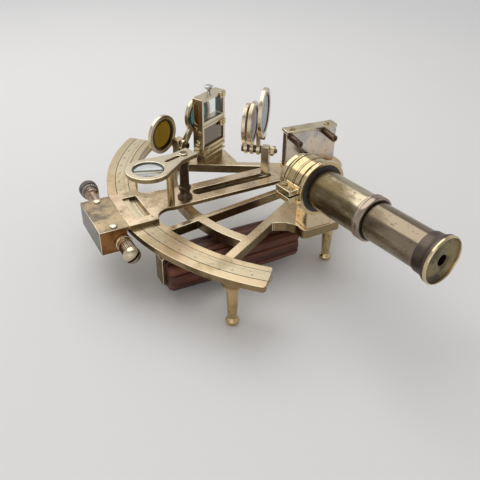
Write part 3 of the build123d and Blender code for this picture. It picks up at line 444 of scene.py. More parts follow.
class Finish(Enum):
    """Every finish on the instrument, by the recipe that makes it."""

    # Brass is given as bright metal, then tarnish, in linear colour.
    CASTING = Brass("cast_brass", (0.74, 0.60, 0.40), (0.47, 0.36, 0.205), age=0.42, roughness=0.27)
    # Painted shade: upright faces of the castings in a much darker brass than their tops.
    FLANK = Brass("cast_flank_painted_shade", (0.30, 0.22, 0.115), (0.14, 0.095, 0.045), age=0.6, roughness=0.30)
    LIMB = Brass("limb_brass", (0.63, 0.505, 0.32), (0.47, 0.355, 0.205), age=0.40, roughness=0.32)
    SCALE = Brass("silvered_scale", (0.61, 0.525, 0.355), (0.50, 0.41, 0.26), age=0.35, roughness=0.40)
    PLATE = Brass("plate_brass", (0.72, 0.57, 0.39), (0.36, 0.275, 0.165), age=0.62, roughness=0.28)
    COVER = Brass("cover_brass", (0.44, 0.335, 0.195), (0.165, 0.130, 0.095), age=0.72, roughness=0.28,
                  patch=48.0)
    # Painted shade: dark grey brass on the tangent cover's upright faces, and russet on its face looking
    # along +X and in the horizon frame's pocket.
    PEWTER = Brass("cover_sides_painted_shade", (0.120, 0.098, 0.078), (0.065, 0.052, 0.040), age=0.6, roughness=0.30)
    RUSSET = Brass("russet_painted_shade", (0.34, 0.165, 0.06), (0.11, 0.06, 0.025), age=0.62, roughness=0.30)
    POLISHED = Brass("polished_brass", (0.66, 0.53, 0.32), (0.44, 0.33, 0.17), age=0.42, roughness=0.20)
    EDGE = Brass("rubbed_edge", (0.82, 0.71, 0.51), (0.64, 0.52, 0.33), age=0.15, roughness=0.26)
    CREAM = Brass("cream_brass", (0.70, 0.61, 0.45), (0.46, 0.37, 0.23), age=0.5, roughness=0.24)
    NICKEL = Brass("nickelled", (0.60, 0.60, 0.58), (0.40, 0.38, 0.36), age=0.4, roughness=0.20)
    COLLAR = Brass("collar_brass", (0.60, 0.465, 0.25), (0.32, 0.23, 0.10), age=0.55, roughness=0.18)
    TUBE = Brass("tube_brass", (0.54, 0.465, 0.325), (0.135, 0.102, 0.052), age=0.74, roughness=0.20,
                 brush=Brush.SCOPE, patch=44.0)
    DRAW = Brass("draw_tube_brass", (0.275, 0.222, 0.155), (0.090, 0.062, 0.038), age=0.72, roughness=0.20,
                 brush=Brush.SCOPE, patch=40.0)
    RING = Brass("rosy_ring_brass", (0.40, 0.32, 0.25), (0.17, 0.125, 0.092), age=0.6, roughness=0.24)
    COWL = Brass("eyepiece_cowl", (0.115, 0.088, 0.070), (0.052, 0.038, 0.028), age=0.5, roughness=0.42)
    EYEPIECE = Brass("eyepiece_face", (0.235, 0.185, 0.080), (0.058, 0.042, 0.032), age=0.60, roughness=0.30,
                     patch=60.0)
    # Dark bronze for pins, nuts, axles and bezels; also painted shade on the walls of cut grooves and slots
    # and on the index mirror frame's cheeks.
    BRONZE = Brass("dark_bronze_and_painted_shade", (0.15, 0.105, 0.070), (0.065, 0.042, 0.027), age=0.5, roughness=0.32)
    BACKPLATE = Brass("mirror_back_brass", (0.74, 0.66, 0.54), (0.42, 0.43, 0.48), age=0.58, roughness=0.26)
    ROSEWOOD = Timber("oiled_rosewood", (0.165, 0.050, 0.026), (0.040, 0.013, 0.009))
    CLEAR = Glass("clear_pane", (0.86, 0.91, 0.91), ior=1.40)
    AMBER = Glass("amber_pane", (0.185, 0.110, 0.010))
    TEAL = Glass("teal_pane", (0.07, 0.19, 0.19))
    SMOKE = Glass("smoke_pane", (0.22, 0.24, 0.25))
    UMBER = Glass("umber_pane", (0.20, 0.095, 0.040))
    MIRROR = Silvering("silvered_mirror", (0.80, 0.79, 0.76))
    DIMMED = Silvering("dimmed_mirror", (0.22, 0.185, 0.15))
    STEEL = Plain("browned_steel", (0.15, 0.135, 0.125), (0.30, 0.265, 0.23), 0.34, 0.9)
    WAX = Plain("engraving_wax", (0.030, 0.022, 0.014), (0.07, 0.052, 0.034), 0.55)
    WORN_WAX = Plain("worn_engraving_wax", (0.16, 0.12, 0.07), (0.30, 0.23, 0.14), 0.5)
    # Blacking on the magnifier's bezel; also painted shade in the dark rings round the collar's mouth and the
    # tube's throat.
    BLACKING = Plain("blacking_and_painted_shade", (0.016, 0.014, 0.012), (0.04, 0.034, 0.028), 0.5)

    @property
    def material(self) -> bpy.types.Material:
        """The finish's material, made on first use."""
        return bpy.data.materials.get(self.value.name) or self.value.make()


# ---------------------------------------------------------------- mesh making
def bench(name: str, data: bpy.types.ID) -> bpy.types.Object:
    """Put a new object that holds a mesh, text, lamp or camera into the scene.

    Args:
        name: the object's name.
        data: what it holds.

    Returns:
        The object.
    """
    made = bpy.data.objects.new(name, data)
    bpy.context.scene.collection.objects.link(made)
    return made


def piece(name: str, mesh: bpy.types.Mesh, *finishes: Finish, crease: float = 32.0) -> bpy.types.Object:
    """Make a mesh a named object with smooth shading and its finishes.

    Args:
        name: the piece's name.
        mesh: its mesh, in the shared frame.
        finishes: one finish per material slot; none keeps the slots it has.
        crease: edges sharper than this many degrees stay sharp.

    Returns:
        The object.
    """
    mesh.name = name
    if finishes:
        mesh.materials.clear()
    for finish in finishes:
        mesh.materials.append(finish.material)
    mesh.polygons.foreach_set("use_smooth", [True] * len(mesh.polygons))
    mesh.set_sharp_from_angle(angle=math.radians(crease))
    return bench(name, mesh)


def settle(made: bpy.types.Object, body: str, slot: str, *replaced: str) -> bpy.types.Object:
    """Put a finished piece on the body that it rides on and hide the nodes that it stands for.

    Args:
        made: the piece.
        body: the body that it rides on.
        slot: its material slot; not used.
        replaced: the nodes that it stands for, if any.

    Returns:
        The piece.
    """
    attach(made, body)
    if replaced:
        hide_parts(*replaced)
    logger.info("%s rides on %s", made.name, body)
    return made


def from_bmesh(mesh_data: bmesh.types.BMesh) -> bpy.types.Mesh:
    """Close a bmesh into a mesh with its normals outwards.

    Args:
        mesh_data: the shape, which is used up.

    Returns:
        The mesh.
    """
    bmesh.ops.remove_doubles(mesh_data, verts=mesh_data.verts, dist=SAME_PLACE)
    bmesh.ops.recalc_face_normals(mesh_data, faces=mesh_data.faces)
    mesh = bpy.data.meshes.new("mesh")
    mesh_data.to_mesh(mesh)
    mesh_data.free()
    return mesh


def band(work: bmesh.types.BMesh, low: Sequence[bmesh.types.BMVert],
         high: Sequence[bmesh.types.BMVert]) -> None:
    """Join two closed rows by faces; a row may be one vertex over and over.

    Args:
        work: the bmesh that holds both rows.
        low: the first row.
        high: the second row, with as many entries.
    """
    for step in range(len(low)):
        after = (step + 1) % len(low)
        around = list(dict.fromkeys((low[step], low[after], high[after], high[step])))
        if len(around) > 2:
            work.faces.new(around)


def lathe(outline: Profile, base: Vector, axis: Vector, closed: bool = False, sides: int = 72,
          into: bmesh.types.BMesh | None = None) -> bmesh.types.BMesh:
    """Turn an outline of (distance, radius) in millimetres about an axis.

    Args:
        outline: the profile's points in order; a radius of 0 closes an end.
        base: where distance 0 lies, in metres.
        axis: unit direction of growing distance.
        closed: join the last point to the first, for a ring.
        sides: faces round the axis.
        into: a bmesh to add to, or a new one.

    Returns:
        The bmesh.
    """
    work = into or bmesh.new()
    across = axis.orthogonal().normalized()
    over = axis.cross(across)
    rings = []
    for distance, radius in outline:
        centre = base + axis * distance * MM
        if radius == 0:
            rings.append([work.verts.new(centre)] * sides)
            continue
        turns = (2 * math.pi * step / sides for step in range(sides))
        rings.append([
            work.verts.new(centre + (across * math.cos(turn) + over * math.sin(turn)) * radius * MM)
            for turn in turns
        ])
    for low, high in zip(rings, rings[1:] + (rings[:1] if closed else [])):
        band(work, low, high)
    return work


def slab(outline: Profile, base: Vector, along: Vector, across: Vector, thickness: float,
         into: bmesh.types.BMesh | None = None) -> bmesh.types.BMesh:
    """Raise a flat outline in millimetres into a slab along (along x across).

    Args:
        outline: the corners, as (along, across).
        base: where the outline's origin lies, in metres.
        along: unit direction of the first number.
        across: unit direction of the second number.
        thickness: how far it is raised, in millimetres.
        into: a bmesh to add to, or a new one.

    Returns:
        The bmesh.
    """
    work = into or bmesh.new()
    lift = along.cross(across) * thickness * MM
    low = [work.verts.new(base + (along * x + across * y) * MM) for x, y in outline]
    high = [work.verts.new(corner.co + lift) for corner in low]
    work.faces.new(low[::-1])
    work.faces.new(high)
    band(work, low, high)
    return work


def baked(source: bpy.types.Object) -> bpy.types.Mesh:
    """Turn an object with its modifiers into a plain mesh and drop the object.

    Args:
        source: the object, which is used up.

    Returns:
        The mesh.
    """
    bpy.context.view_layer.update()
    mesh = bpy.data.meshes.new_from_object(source.evaluated_get(bpy.context.evaluated_depsgraph_get()))
    bpy.data.objects.remove(source)
    return mesh


def eased(mesh: bpy.types.Mesh, width: float, edge_slot: int = -1) -> bpy.types.Mesh:
    """Round a mesh's sharp edges.

    Args:
        mesh: the mesh, which is used up.
        width: the round's width in millimetres.
        edge_slot: material slot of the rounds, or -1 to keep the neighbours'.

    Returns:
        The rounded mesh.
    """
    carrier = bench("eased", mesh)
    bevel = carrier.modifiers.new("ease", "BEVEL")
    bevel.width, bevel.segments, bevel.material = width * MM, EASED_FACES, edge_slot
    bevel.limit_method, bevel.angle_limit = "ANGLE", math.radians(EASED_ABOVE)
    bevel.use_clamp_overlap = False
    return baked(carrier)


def crisp(mesh: bpy.types.Mesh, edge_slot: int) -> None:
    """Keep flats flat beside rounds: the line where a rounded edge starts is sharp.

    Args:
        mesh: the mesh, which is changed.
        edge_slot: material slot of the rounds.
    """
    meets: dict[tuple[int, int], set[bool]] = {}
    for face in mesh.polygons:
        for key in face.edge_keys:
            meets.setdefault(key, set()).add(face.material_index == edge_slot)
    for edge in mesh.edges:
        if len(meets.get(edge.key, ())) > 1:
            edge.use_edge_sharp = True


def retiled(mesh: bpy.types.Mesh) -> bpy.types.Mesh:
    """Cut flat faces with very many corners into triangles by a constrained triangulation.

    Args:
        mesh: the mesh, which is changed.

    Returns:
        The same mesh.
    """
    work = bmesh.new()
    work.from_mesh(mesh)
    for face in [face for face in work.faces if len(face.verts) > MOST_CORNERS]:
        across = face.normal.orthogonal().normalized()
        over = face.normal.cross(across)
        corners = list(face.verts)
        flat = [Vector((corner.co.dot(across), corner.co.dot(over))) / MM for corner in corners]
        edge_ring = [list(range(len(flat)))]
        points, _, tiles, sources, _, _ = delaunay_2d_cdt(flat, [], edge_ring, HOLES_OPEN, SAME_PLACE)
        slot, level = face.material_index, face.calc_center_median().dot(face.normal)
        work.faces.remove(face)
        made = [
            corners[source[0]] if source
            else work.verts.new((across * point.x + over * point.y) * MM + over.cross(across) * -level)
            for point, source in zip(points, sources)
        ]
        for tile in tiles:
            try:
                work.faces.new([made[number] for number in tile]).material_index = slot
            except ValueError:
                logger.warning("a tile of %s is there twice", mesh.name)
    work.to_mesh(mesh)
    work.free()
    return mesh


def cad_copy(node: str) -> bpy.types.Mesh:
    """Merged copy of a CAD node's mesh with its flat faces made whole.

    Args:
        node: the node's name.

    Returns:
        The copy.
    """
    work = bmesh.new()
    work.from_mesh(frame["nodes"][node].data)
    bmesh.ops.remove_doubles(work, verts=work.verts, dist=CAD_SAME_PLACE)
    bmesh.ops.dissolve_degenerate(work, edges=work.edges, dist=CAD_SAME_PLACE)
    within = math.radians(CAD_FLAT_WITHIN)
    bmesh.ops.dissolve_limit(work, angle_limit=within, verts=work.verts, edges=work.edges)
    mesh = bpy.data.meshes.new(node)
    work.to_mesh(mesh)
    work.free()
    return mesh


def body_of(node: str) -> str:
    """Name of the body that holds a CAD node."""
    bodies = frame["record"]["behaviour"]["bodies"]
    return next(body for body, nodes in bodies.items() if node in nodes)


def slot_of(node: str) -> str:
    """Material slot that the record gives a CAD node."""
    return next(row["material_slot"] for row in frame["record"]["subparts"] if row["node"] == node)


def grooved(mesh: bpy.types.Mesh, cutter: bmesh.types.BMesh, finish: Finish) -> bpy.types.Mesh:
    """Cut a mesh with closed shapes whose walls leave their own finish behind.

    Args:
        mesh: the mesh, which is used up.
        cutter: the shapes, which are used up too.
        finish: what the cut walls show; here a dark finish that paints shade into the cut.

    Returns:
        The cut mesh.
    """
    tool_mesh = from_bmesh(cutter)
    tool_mesh.materials.append(finish.material)
    mesh.materials.append(finish.material)
    tool, carrier = bench("cutter", tool_mesh), bench("grooved", mesh)
    cut = carrier.modifiers.new("cut", "BOOLEAN")
    cut.operation, cut.object, cut.solver, cut.material_mode = "DIFFERENCE", tool, "EXACT", "TRANSFER"
    result = baked(carrier)
    bpy.data.objects.remove(tool)
    return result


@dataclass(frozen=True)
class Forging:
    """A solid that keeps its shape and gets rounded, rubbed edges.

    Each row of `sides` gives upright faces a finish of their own: all of them, or those that look
    along a compass angle. Most of these rows paint shade onto the upright faces in a darker brass.
    """

    node: str
    finish: Finish
    ease: float = 0.22
    edge: Finish = Finish.EDGE
    sides: tuple[tuple[Finish, float | None], ...] = ()

    def shape(self) -> bpy.types.Mesh:
        """Rounded copy of the solid in its finishes.

        Returns:
            The copy's mesh.
        """
        mesh = cad_copy(self.node)
        mesh.materials.clear()
        mesh.materials.append(self.finish.material)
        mesh.materials.append(self.edge.material)
        mesh = retiled(eased(mesh, self.ease, edge_slot=1))
        for slot, (finish, facing) in enumerate(self.sides, len(mesh.materials)):
            mesh.materials.append(finish.material)
            for face in mesh.polygons:
                if facing is None:
                    chosen = abs(face.normal.z) < UPRIGHT_BELOW
                else:
                    chosen = face.normal.dot(compass(facing)) > FACING_ABOVE
                if chosen and face.material_index != 1:
                    face.material_index = slot
        return mesh

    def build(self, mesh: bpy.types.Mesh | None = None) -> bpy.types.Object:
        """Let the rounded copy, or a mesh worked further, stand for the node.

        Args:
            mesh: a worked copy, or none for the rounded copy as it is.

        Returns:
            The piece.
        """
        made = piece(f"{self.node}_dressed", mesh or self.shape())
        crisp(made.data, 1)
        return settle(made, body_of(self.node), slot_of(self.node), self.node)


@dataclass(frozen=True)
class Turning:
    """A part turned on the lathe: its outline, its finish and where it belongs."""

    name: str
    outline: Profile
    finish: Finish
    body: str
    slot: str
    replaced: tuple[str, ...] = ()
    closed: bool = False
    sides: int = 72

    def build(self, base: Vector, axis: Vector) -> bpy.types.Object:
        """Turn it about an axis from a base point.

        Args:
            base: where distance 0 lies, in metres.
            axis: unit direction of growing distance.

        Returns:
            The piece.
        """
        mesh = from_bmesh(lathe(self.outline, base, axis, self.closed, self.sides))
        return settle(piece(self.name, mesh, self.finish), self.body, self.slot, *self.replaced)


# ---------------------------------------------------------------- repeated details
class Pattern(Graph):
    """A geometry node tree that repeats a detail, with named inputs."""

    def __init__(self, name: str) -> None:
        """Start a tree with its geometry sockets.

        Args:
            name: the tree's name.
        """
        super().__init__(bpy.data.node_groups.new(name, "GeometryNodeTree"))
        self.sockets: dict[str, str] = {}
        self.tree.interface.new_socket("Geometry", in_out="INPUT", socket_type="NodeSocketGeometry")
        self.tree.interface.new_socket("Geometry", in_out="OUTPUT", socket_type="NodeSocketGeometry")
        self.source = self.add("NodeGroupInput")

    def size(self, name: str, kind: str = "NodeSocketFloat") -> Num:
        """Add a named input and return it.

        Args:
            name: the input's name.
            kind: its socket type.

        Returns:
            The input as a number.
        """
        socket = self.tree.interface.new_socket(name, in_out="INPUT", socket_type=kind)
        self.sockets[name] = socket.identifier
        return Num(self, self.source.outputs[name])

    def vector(self, x: Num | float, y: Num | float, z: Num | float) -> bpy.types.NodeSocket:
        """Vector of three numbers."""
        return self.add("ShaderNodeCombineXYZ", None, {0: x, 1: y, 2: z}).outputs[0]

    def index(self) -> Num:
        """The number of each point."""
        return self.num("GeometryNodeInputIndex")

    def close(self, instances: bpy.types.NodeSocket, finish: Finish) -> None:
        """Realize the instances, give them their material and end the tree.

        Args:
            instances: the instances' socket.
            finish: what they are made of.
        """
        real = self.add("GeometryNodeRealizeInstances", None, {"Geometry": instances})
        inputs = {"Geometry": real.outputs[0], "Material": finish.material}
        dressed = self.add("GeometryNodeSetMaterial", None, inputs)
        self.add("NodeGroupOutput", None, {"Geometry": dressed.outputs[0]})

    def grow(self, sizes: dict, start: bpy.types.Mesh | None = None) -> bpy.types.Mesh:
        """Run the tree on a mesh.

        Args:
            sizes: values of the named inputs.
            start: the mesh that the tree begins from, or none.

        Returns:
            The plain mesh that it makes.
        """
        carrier = bench("pattern", start or bpy.data.meshes.new("empty"))
        modifier = carrier.modifiers.new("pattern", "NODES")
        modifier.node_group = self.tree
        for name, value in sizes.items():
            modifier[self.sockets[name]] = value
        return baked(carrier)


def placed(mesh: bpy.types.Mesh, base: Vector, axis: Vector) -> bpy.types.Mesh:
    """Move a mesh drawn about its own Z axis to a base point and axis.

    Args:
        mesh: the mesh, which is changed.
        base: where its origin goes, in metres.
        axis: where its Z axis points.

    Returns:
        The same mesh.
    """
    mesh.transform(Matrix.Translation(base) @ axis.to_track_quat("Z", "Y").to_matrix().to_4x4())
    return mesh


@dataclass
class Graduations:
    """Engraved divisions along an arc about the pivot: every fifth is longer, every tenth longest.

    Angles are in degrees from -Y, and `outward` is 1 where the strokes run outwards from the arc.
    """

    name: str
    body: str
    slot: str
    radius: float
    level: float
    first: float
    step: float
    count: int
    length: float
    width: float = 0.14
    thickness: float = 0.04
    outward: int = -1

    def build(self) -> bpy.types.Object:
        """Repeat one stroke along the arc.

        Returns:
            The piece.
        """
        pattern = Pattern(f"{self.name}_pattern")
        count = pattern.size("Count", "NodeSocketInt")
        first, step = pattern.size("First"), pattern.size("Step")
        radius, length, width = pattern.size("Radius"), pattern.size("Length"), pattern.size("Width")
        number = pattern.index()
        angle = first + step * number
        reach = length * (0.5 + 0.25 * (number % 5.0).below(0.5) + 0.25 * (number % 10.0).below(0.5))
        middle = radius + reach * (0.5 * self.outward)
        points = pattern.add("GeometryNodePoints", None, {
            "Count": count,
            "Position": pattern.vector(middle * angle.sine(), 0.0 - middle * angle.cosine(), 0.0),
        })
        stroke = pattern.add("GeometryNodeMeshCube", None, {"Size": (1.0, 1.0, self.thickness * MM)})
        strokes = pattern.add("GeometryNodeInstanceOnPoints", None, {
            "Points": points.outputs[0], "Instance": stroke.outputs[0],
            "Rotation": pattern.vector(0.0, 0.0, angle), "Scale": pattern.vector(width, reach, 1.0),
        })
        pattern.close(strokes.outputs[0], Finish.WORN_WAX)
        mesh = pattern.grow({
            "Count": self.count, "First": math.radians(self.first), "Step": math.radians(self.step),
            "Radius": self.radius * MM, "Length": self.length * MM, "Width": self.width * MM,
        })
        mesh.transform(Matrix.Translation(spot(0, 0, self.level)))
        return settle(piece(self.name, mesh), self.body, self.slot)


@dataclass
class Knurl:
    """Straight ridges round a turned part."""

    name: str
    body: str
    slot: str
    base: Vector
    axis: Vector
    radius: float
    length: float
    ridges: int
    finish: Finish
    height: float

    def build(self) -> bpy.types.Object:
        """Repeat one ridge round the circle.

        Returns:
            The piece.
        """
        pattern = Pattern(f"{self.name}_pattern")
        ridges = pattern.size("Ridges", "NodeSocketInt")
        radius, length, height = pattern.size("Radius"), pattern.size("Length"), pattern.size("Height")
        angle = pattern.index() * (2 * math.pi / self.ridges)
        points = pattern.add("GeometryNodePoints", None, {
            "Count": ridges,
            "Position": pattern.vector(radius * angle.cosine(), radius * angle.sine(), length * 0.5),
        })
        sizes = {"Vertices": 6, "Radius": height, "Depth": length}
        bar = pattern.add("GeometryNodeMeshCylinder", None, sizes)
        bars = pattern.add("GeometryNodeInstanceOnPoints", None, {
            "Points": points.outputs[0], "Instance": bar.outputs["Mesh"],
            "Rotation": pattern.vector(0.0, 0.0, angle),
        })
        pattern.close(bars.outputs[0], self.finish)
        mesh = pattern.grow({
            "Ridges": self.ridges, "Radius": self.radius * MM, "Length": self.length * MM,
            "Height": self.height * MM,
        })
        return settle(piece(self.name, placed(mesh, self.base, self.axis)), self.body, self.slot)


@dataclass(frozen=True)
class Screw:
    """Where one cheese-head screw sits: its seat, the way its head faces and its radius."""

    seat: Vector
    facing: Vector
    radius: float


@dataclass
class ScrewSet:
    """Screw heads of one body, slotted or domed, each turned by a fixed seed.

    The head's own sizes are shares of its radius.
    """

    name: str
    body: str
    slot: str
    screws: list[Screw]
    finish: Finish = Finish.POLISHED
    replaced: tuple[str, ...] = ()
    seed: int = 4
    slotted: bool = True
    height: float = 0.5
    rim: float = 0.12
    slot_depth: float = 0.26
    slot_half: float = 0.13
    slot_reach: float = 0.98
    arc_steps: int = 14
    dome: Profile = ((0.0, 0.0), (0.0, 1.0), (0.3, 1.0), (0.42, 0.93), (0.5, 0.7), (0.54, 0.4), (0.55, 0.0))

    def domed_head(self) -> bmesh.types.BMesh:
        """Plain domed head of unit radius, standing on the origin along Z."""
        outline = [(level / MM, radius / MM) for level, radius in self.dome]
        return lathe(outline, Vector(), UP, sides=32)

    def slotted_head(self) -> bmesh.types.BMesh:
        """Head of unit radius with a chamfered rim, in two halves with the slot's floor between.

        Returns:
            The head, standing on the origin along Z.
        """
        work = bmesh.new()
        wall = self.height - self.rim
        start = math.asin(self.slot_half / (1 - self.rim))
        arc = [start + (math.pi - 2 * start) * step / self.arc_steps for step in range(self.arc_steps + 1)]
        for side in (1, -1):
            rows = []
            for level, radius in ((0.0, 1.0), (wall, 1.0), (self.height, 1.0 - self.rim)):
                flat = [(radius * math.cos(a), side * max(self.slot_half, radius * math.sin(a))) for a in arc]
                rows.append([work.verts.new((x, y, level)) for x, y in flat])
            for low, high in zip(rows, rows[1:]):
                band(work, low, high)
            work.faces.new(rows[0][::-1])
            work.faces.new(rows[-1])
        outline = rectangle(self.slot_reach / MM, -self.slot_half / MM, self.slot_half / MM)
        return slab(outline, Vector(), EAST, NORTH, (wall - self.slot_depth) / MM, work)

    def build(self) -> bpy.types.Object:
        """Repeat the head at every seat.

        Returns:
            The piece.
        """
        start = bpy.data.meshes.new("seats")
        start.from_pydata([screw.seat for screw in self.screws], [], [])
        facing = start.attributes.new("facing", "FLOAT_VECTOR", "POINT")
        facing.data.foreach_set("vector", [c for screw in self.screws for c in screw.facing])
        radius = start.attributes.new("radius", "FLOAT", "POINT")
        radius.data.foreach_set("value", [screw.radius * MM for screw in self.screws])
        head = bench("head", from_bmesh(self.slotted_head() if self.slotted else self.domed_head()))
        pattern = Pattern(f"{self.name}_pattern")
        seed, template = pattern.size("Seed", "NodeSocketInt"), pattern.size("Head", "NodeSocketObject")
        reader = "GeometryNodeInputNamedAttribute"
        axis = pattern.add(reader, {"data_type": "FLOAT_VECTOR"}, {"Name": "facing"})
        size = pattern.add(reader, {"data_type": "FLOAT"}, {"Name": "radius"})
        spin = pattern.add("FunctionNodeRandomValue", {"data_type": "FLOAT"}, {
            2: 0.0, 3: math.pi, "Seed": seed,
        })
        turn = pattern.add("ShaderNodeCombineXYZ", None, {2: spin.outputs[1]})
        faced = pattern.add("FunctionNodeAlignRotationToVector", {"axis": "Z"}, {"Vector": axis.outputs[0]})
        turned = pattern.add("FunctionNodeRotateRotation", {"rotation_space": "LOCAL"}, {
            "Rotation": faced.outputs[0],
            "Rotate By": pattern.add("FunctionNodeEulerToRotation", None, {0: turn.outputs[0]}).outputs[0],
        })
        shape = pattern.add("GeometryNodeObjectInfo", {"transform_space": "ORIGINAL"}, {"Object": template})
        heads = pattern.add("GeometryNodeInstanceOnPoints", None, {
            "Points": pattern.source.outputs["Geometry"], "Instance": shape.outputs["Geometry"],
            "Rotation": turned.outputs[0], "Scale": size.outputs[0],
        })
        pattern.close(heads.outputs[0], self.finish)
        mesh = pattern.grow({"Seed": self.seed, "Head": head}, start)
        for name in ("facing", "radius"):
            if name in mesh.attributes:
                mesh.attributes.remove(mesh.attributes[name])
        bpy.data.objects.remove(head)
        return settle(piece(self.name, mesh), self.body, self.slot, *self.replaced)


# ---------------------------------------------------------------- sub-assemblies
@dataclass
class Limb:
    """The graduated arc: its divisions, guide lines and figures."""

    top: float = 40.5
    proud: float = 0.01
    half_span: float = 45.0
    division: float = 0.5
    division_radius: float = 138.6
    division_length: float = 2.9
    guide_radii: tuple[float, float] = (135.13, 143.87)
    guide_half_width: float = 0.22
    guide_half_span: float = 46.4
    guide_levels: tuple[float, float] = (-0.01, 0.03)
    guide_steps: int = 88
    figure_radius: float = 141.3
    figure_height: float = 2.1
    figure_depth: float = 0.02
    figure_inset: float = 2.5
    figure_step: float = 5.0
    figures: range = range(0, 180, 10)

    def build(self) -> None:
        """Engrave the divisions, the guide lines and the figures."""
        Graduations(
            name="limb_divisions", body="frame", slot="scale", radius=self.division_radius,
            level=self.top + self.proud, first=self.half_span, step=-self.division,
            count=int(2 * self.half_span / self.division) + 1, length=self.division_length,
        ).build()
        self.guide_lines()
        self.numerals()

    def guide_lines(self) -> None:
        """Two fine arcs that bound the divisions and the figures."""
        work = bmesh.new()
        for radius in self.guide_radii:
            self.arc(work, radius - self.guide_half_width, radius + self.guide_half_width)
        settle(piece("limb_guide_lines", from_bmesh(work), Finish.WAX), "frame", "scale")

    def arc(self, work: bmesh.types.BMesh, inner: float, outer: float) -> None:
        """Add a thin flat arc about the pivot between two radii.

        Args:
            work: the bmesh to add to.
            inner: the smaller radius in millimetres.
            outer: the larger radius.
        """
        low, high = self.guide_levels
        rows = []
        for step in range(self.guide_steps + 1):
            angle = math.radians(-self.guide_half_span + 2 * self.guide_half_span * step / self.guide_steps)
            rows.append([
                work.verts.new(spot(radius * math.sin(angle), -radius * math.cos(angle), self.top + level))
                for radius, level in ((inner, low), (outer, low), (outer, high), (inner, high))
            ])
        for row, after in zip(rows, rows[1:]):
            band(work, row, after)
        work.faces.new(rows[0])
        work.faces.new(rows[-1][::-1])

    def numerals(self) -> None:
        """Cut the figures, upright towards the pivot."""
        work = bmesh.new()
        for number, value in enumerate(self.figures):
            angle = math.radians(self.half_span - self.figure_inset - self.figure_step * number)
            curve = bpy.data.curves.new("figure", "FONT")
            curve.body, curve.size = str(value), self.figure_height * MM
            curve.extrude, curve.resolution_u = self.figure_depth * MM, 3
            curve.align_x, curve.align_y = "CENTER", "CENTER"
            mesh = baked(bench("figure", curve))
            across, along = self.figure_radius * math.sin(angle), -self.figure_radius * math.cos(angle)
            place = Matrix.Translation(spot(across, along, self.top + self.proud))
            mesh.transform(place @ Matrix.Rotation(angle, 4, "Z"))
            work.from_mesh(mesh)
            bpy.data.meshes.remove(mesh)
        settle(piece("limb_figures", from_bmesh(work), Finish.WORN_WAX), "frame", "scale")


@dataclass
class Legs:
    """Three turned legs, each with a flared foot, a tapered shank and a bead under the frame."""

    spots: dict[str, tuple[float, float]] = field(default_factory=lambda: {
        "leg_right": (85.227, -111.07), "leg_left": (-85.227, -111.07), "leg_lug": (55.0, -23.0),
    })
    outline: Profile = (
        (0.0, 0.0), (0.0, 2.6), (0.25, 3.3), (0.9, 3.8), (1.8, 4.15), (2.6, 4.2), (3.4, 3.95), (4.1, 3.3),
        (4.7, 2.75), (5.4, 2.6), (6.2, 2.85), (12.0, 3.15), (22.0, 3.55), (26.0, 3.7), (26.3, 4.15),
        (26.9, 4.3), (27.5, 4.15), (27.8, 3.8), (28.3, 3.8), (28.5, 4.3), (30.0, 4.3), (30.0, 0.0),
    )

    def build(self) -> None:
        """Turn each leg."""
        for node, (x, y) in self.spots.items():
            # The legs take the collar's darker brass as painted shade, for the shadow under the frame.
            leg = Turning(f"{node}_turned", self.outline, Finish.COLLAR, "frame", "brass", (node,))
            leg.build(spot(x, y, 0), UP)


@dataclass
class Handle:
    """The moulded rosewood grip: fluted flanks, a grooved top and slightly drawn-in ends."""

    middle_x: float = 39.0
    middle_z: float = 16.6
    start: float = -136.0
    length: float = 93.0
    width: float = 28.0
    height: float = 21.0
    squareness: float = 0.42
    flat_share: float = 0.8
    flank_grooves: tuple[float, ...] = (-5.0, -1.0, 3.0)
    flank_depth: float = 1.9
    flank_groove_width: float = 0.85
    top_grooves: tuple[float, ...] = (-7.6, 0.0, 7.6)
    top_depth: float = 1.7
    top_groove_width: float = 0.95
    taper: float = 0.05
    end_inset: float = 0.10
    end_share: float = 0.035
    rows: int = 48
    steps: int = 240

    def section(self) -> list[tuple[float, float]]:
        """Cross-section in millimetres about its middle, with its grooves.

        Returns:
            The corners as (across, up), in order.
        """
        points = []
        half_width, half_height = self.width / 2, self.height / 2
        for step in range(self.steps):
            angle = 2 * math.pi * step / self.steps
            x = half_width * math.copysign(abs(math.cos(angle)) ** self.squareness, math.cos(angle))
            z = half_height * math.copysign(abs(math.sin(angle)) ** self.squareness, math.sin(angle))
            depth = 0.0
            if abs(x) > half_width * self.flat_share:
                for groove in self.flank_grooves:
                    depth += self.flank_depth * math.exp(-(((z - groove) / self.flank_groove_width) ** 2))
            if abs(z) > half_height * self.flat_share:
                for groove in self.top_grooves:
                    depth += self.top_depth * math.exp(-(((x - groove) / self.top_groove_width) ** 2))
            share = 1 - depth / math.hypot(x, z)
            points.append((x * share, z * share))
        return points

    def inset(self, along: float) -> float:
        """Share of the section's size at a place from -1 to 1 along the grip."""
        last = max(0.0, abs(along) - (1.0 - self.end_share)) / self.end_share
        return 1.0 - self.taper * along**2 - self.end_inset * last

    def build(self) -> None:
        """Loft the section along the grip."""
        outline = self.section()
        work = bmesh.new()
        rings = []
        for row in range(self.rows + 1):
            share = row / self.rows
            inset = self.inset(2 * share - 1)
            y = self.start + self.length * share
            rings.append([
                work.verts.new(spot(self.middle_x + x * inset, y, self.middle_z + z * inset))
                for x, z in outline
            ])
        for ring, after in zip(rings, rings[1:]):
            band(work, ring, after)
        work.faces.new(rings[0])
        work.faces.new(rings[-1])
        made = piece("handle_moulded", from_bmesh(work), Finish.ROSEWOOD, crease=50)
        settle(made, "frame", "rosewood", "handle")


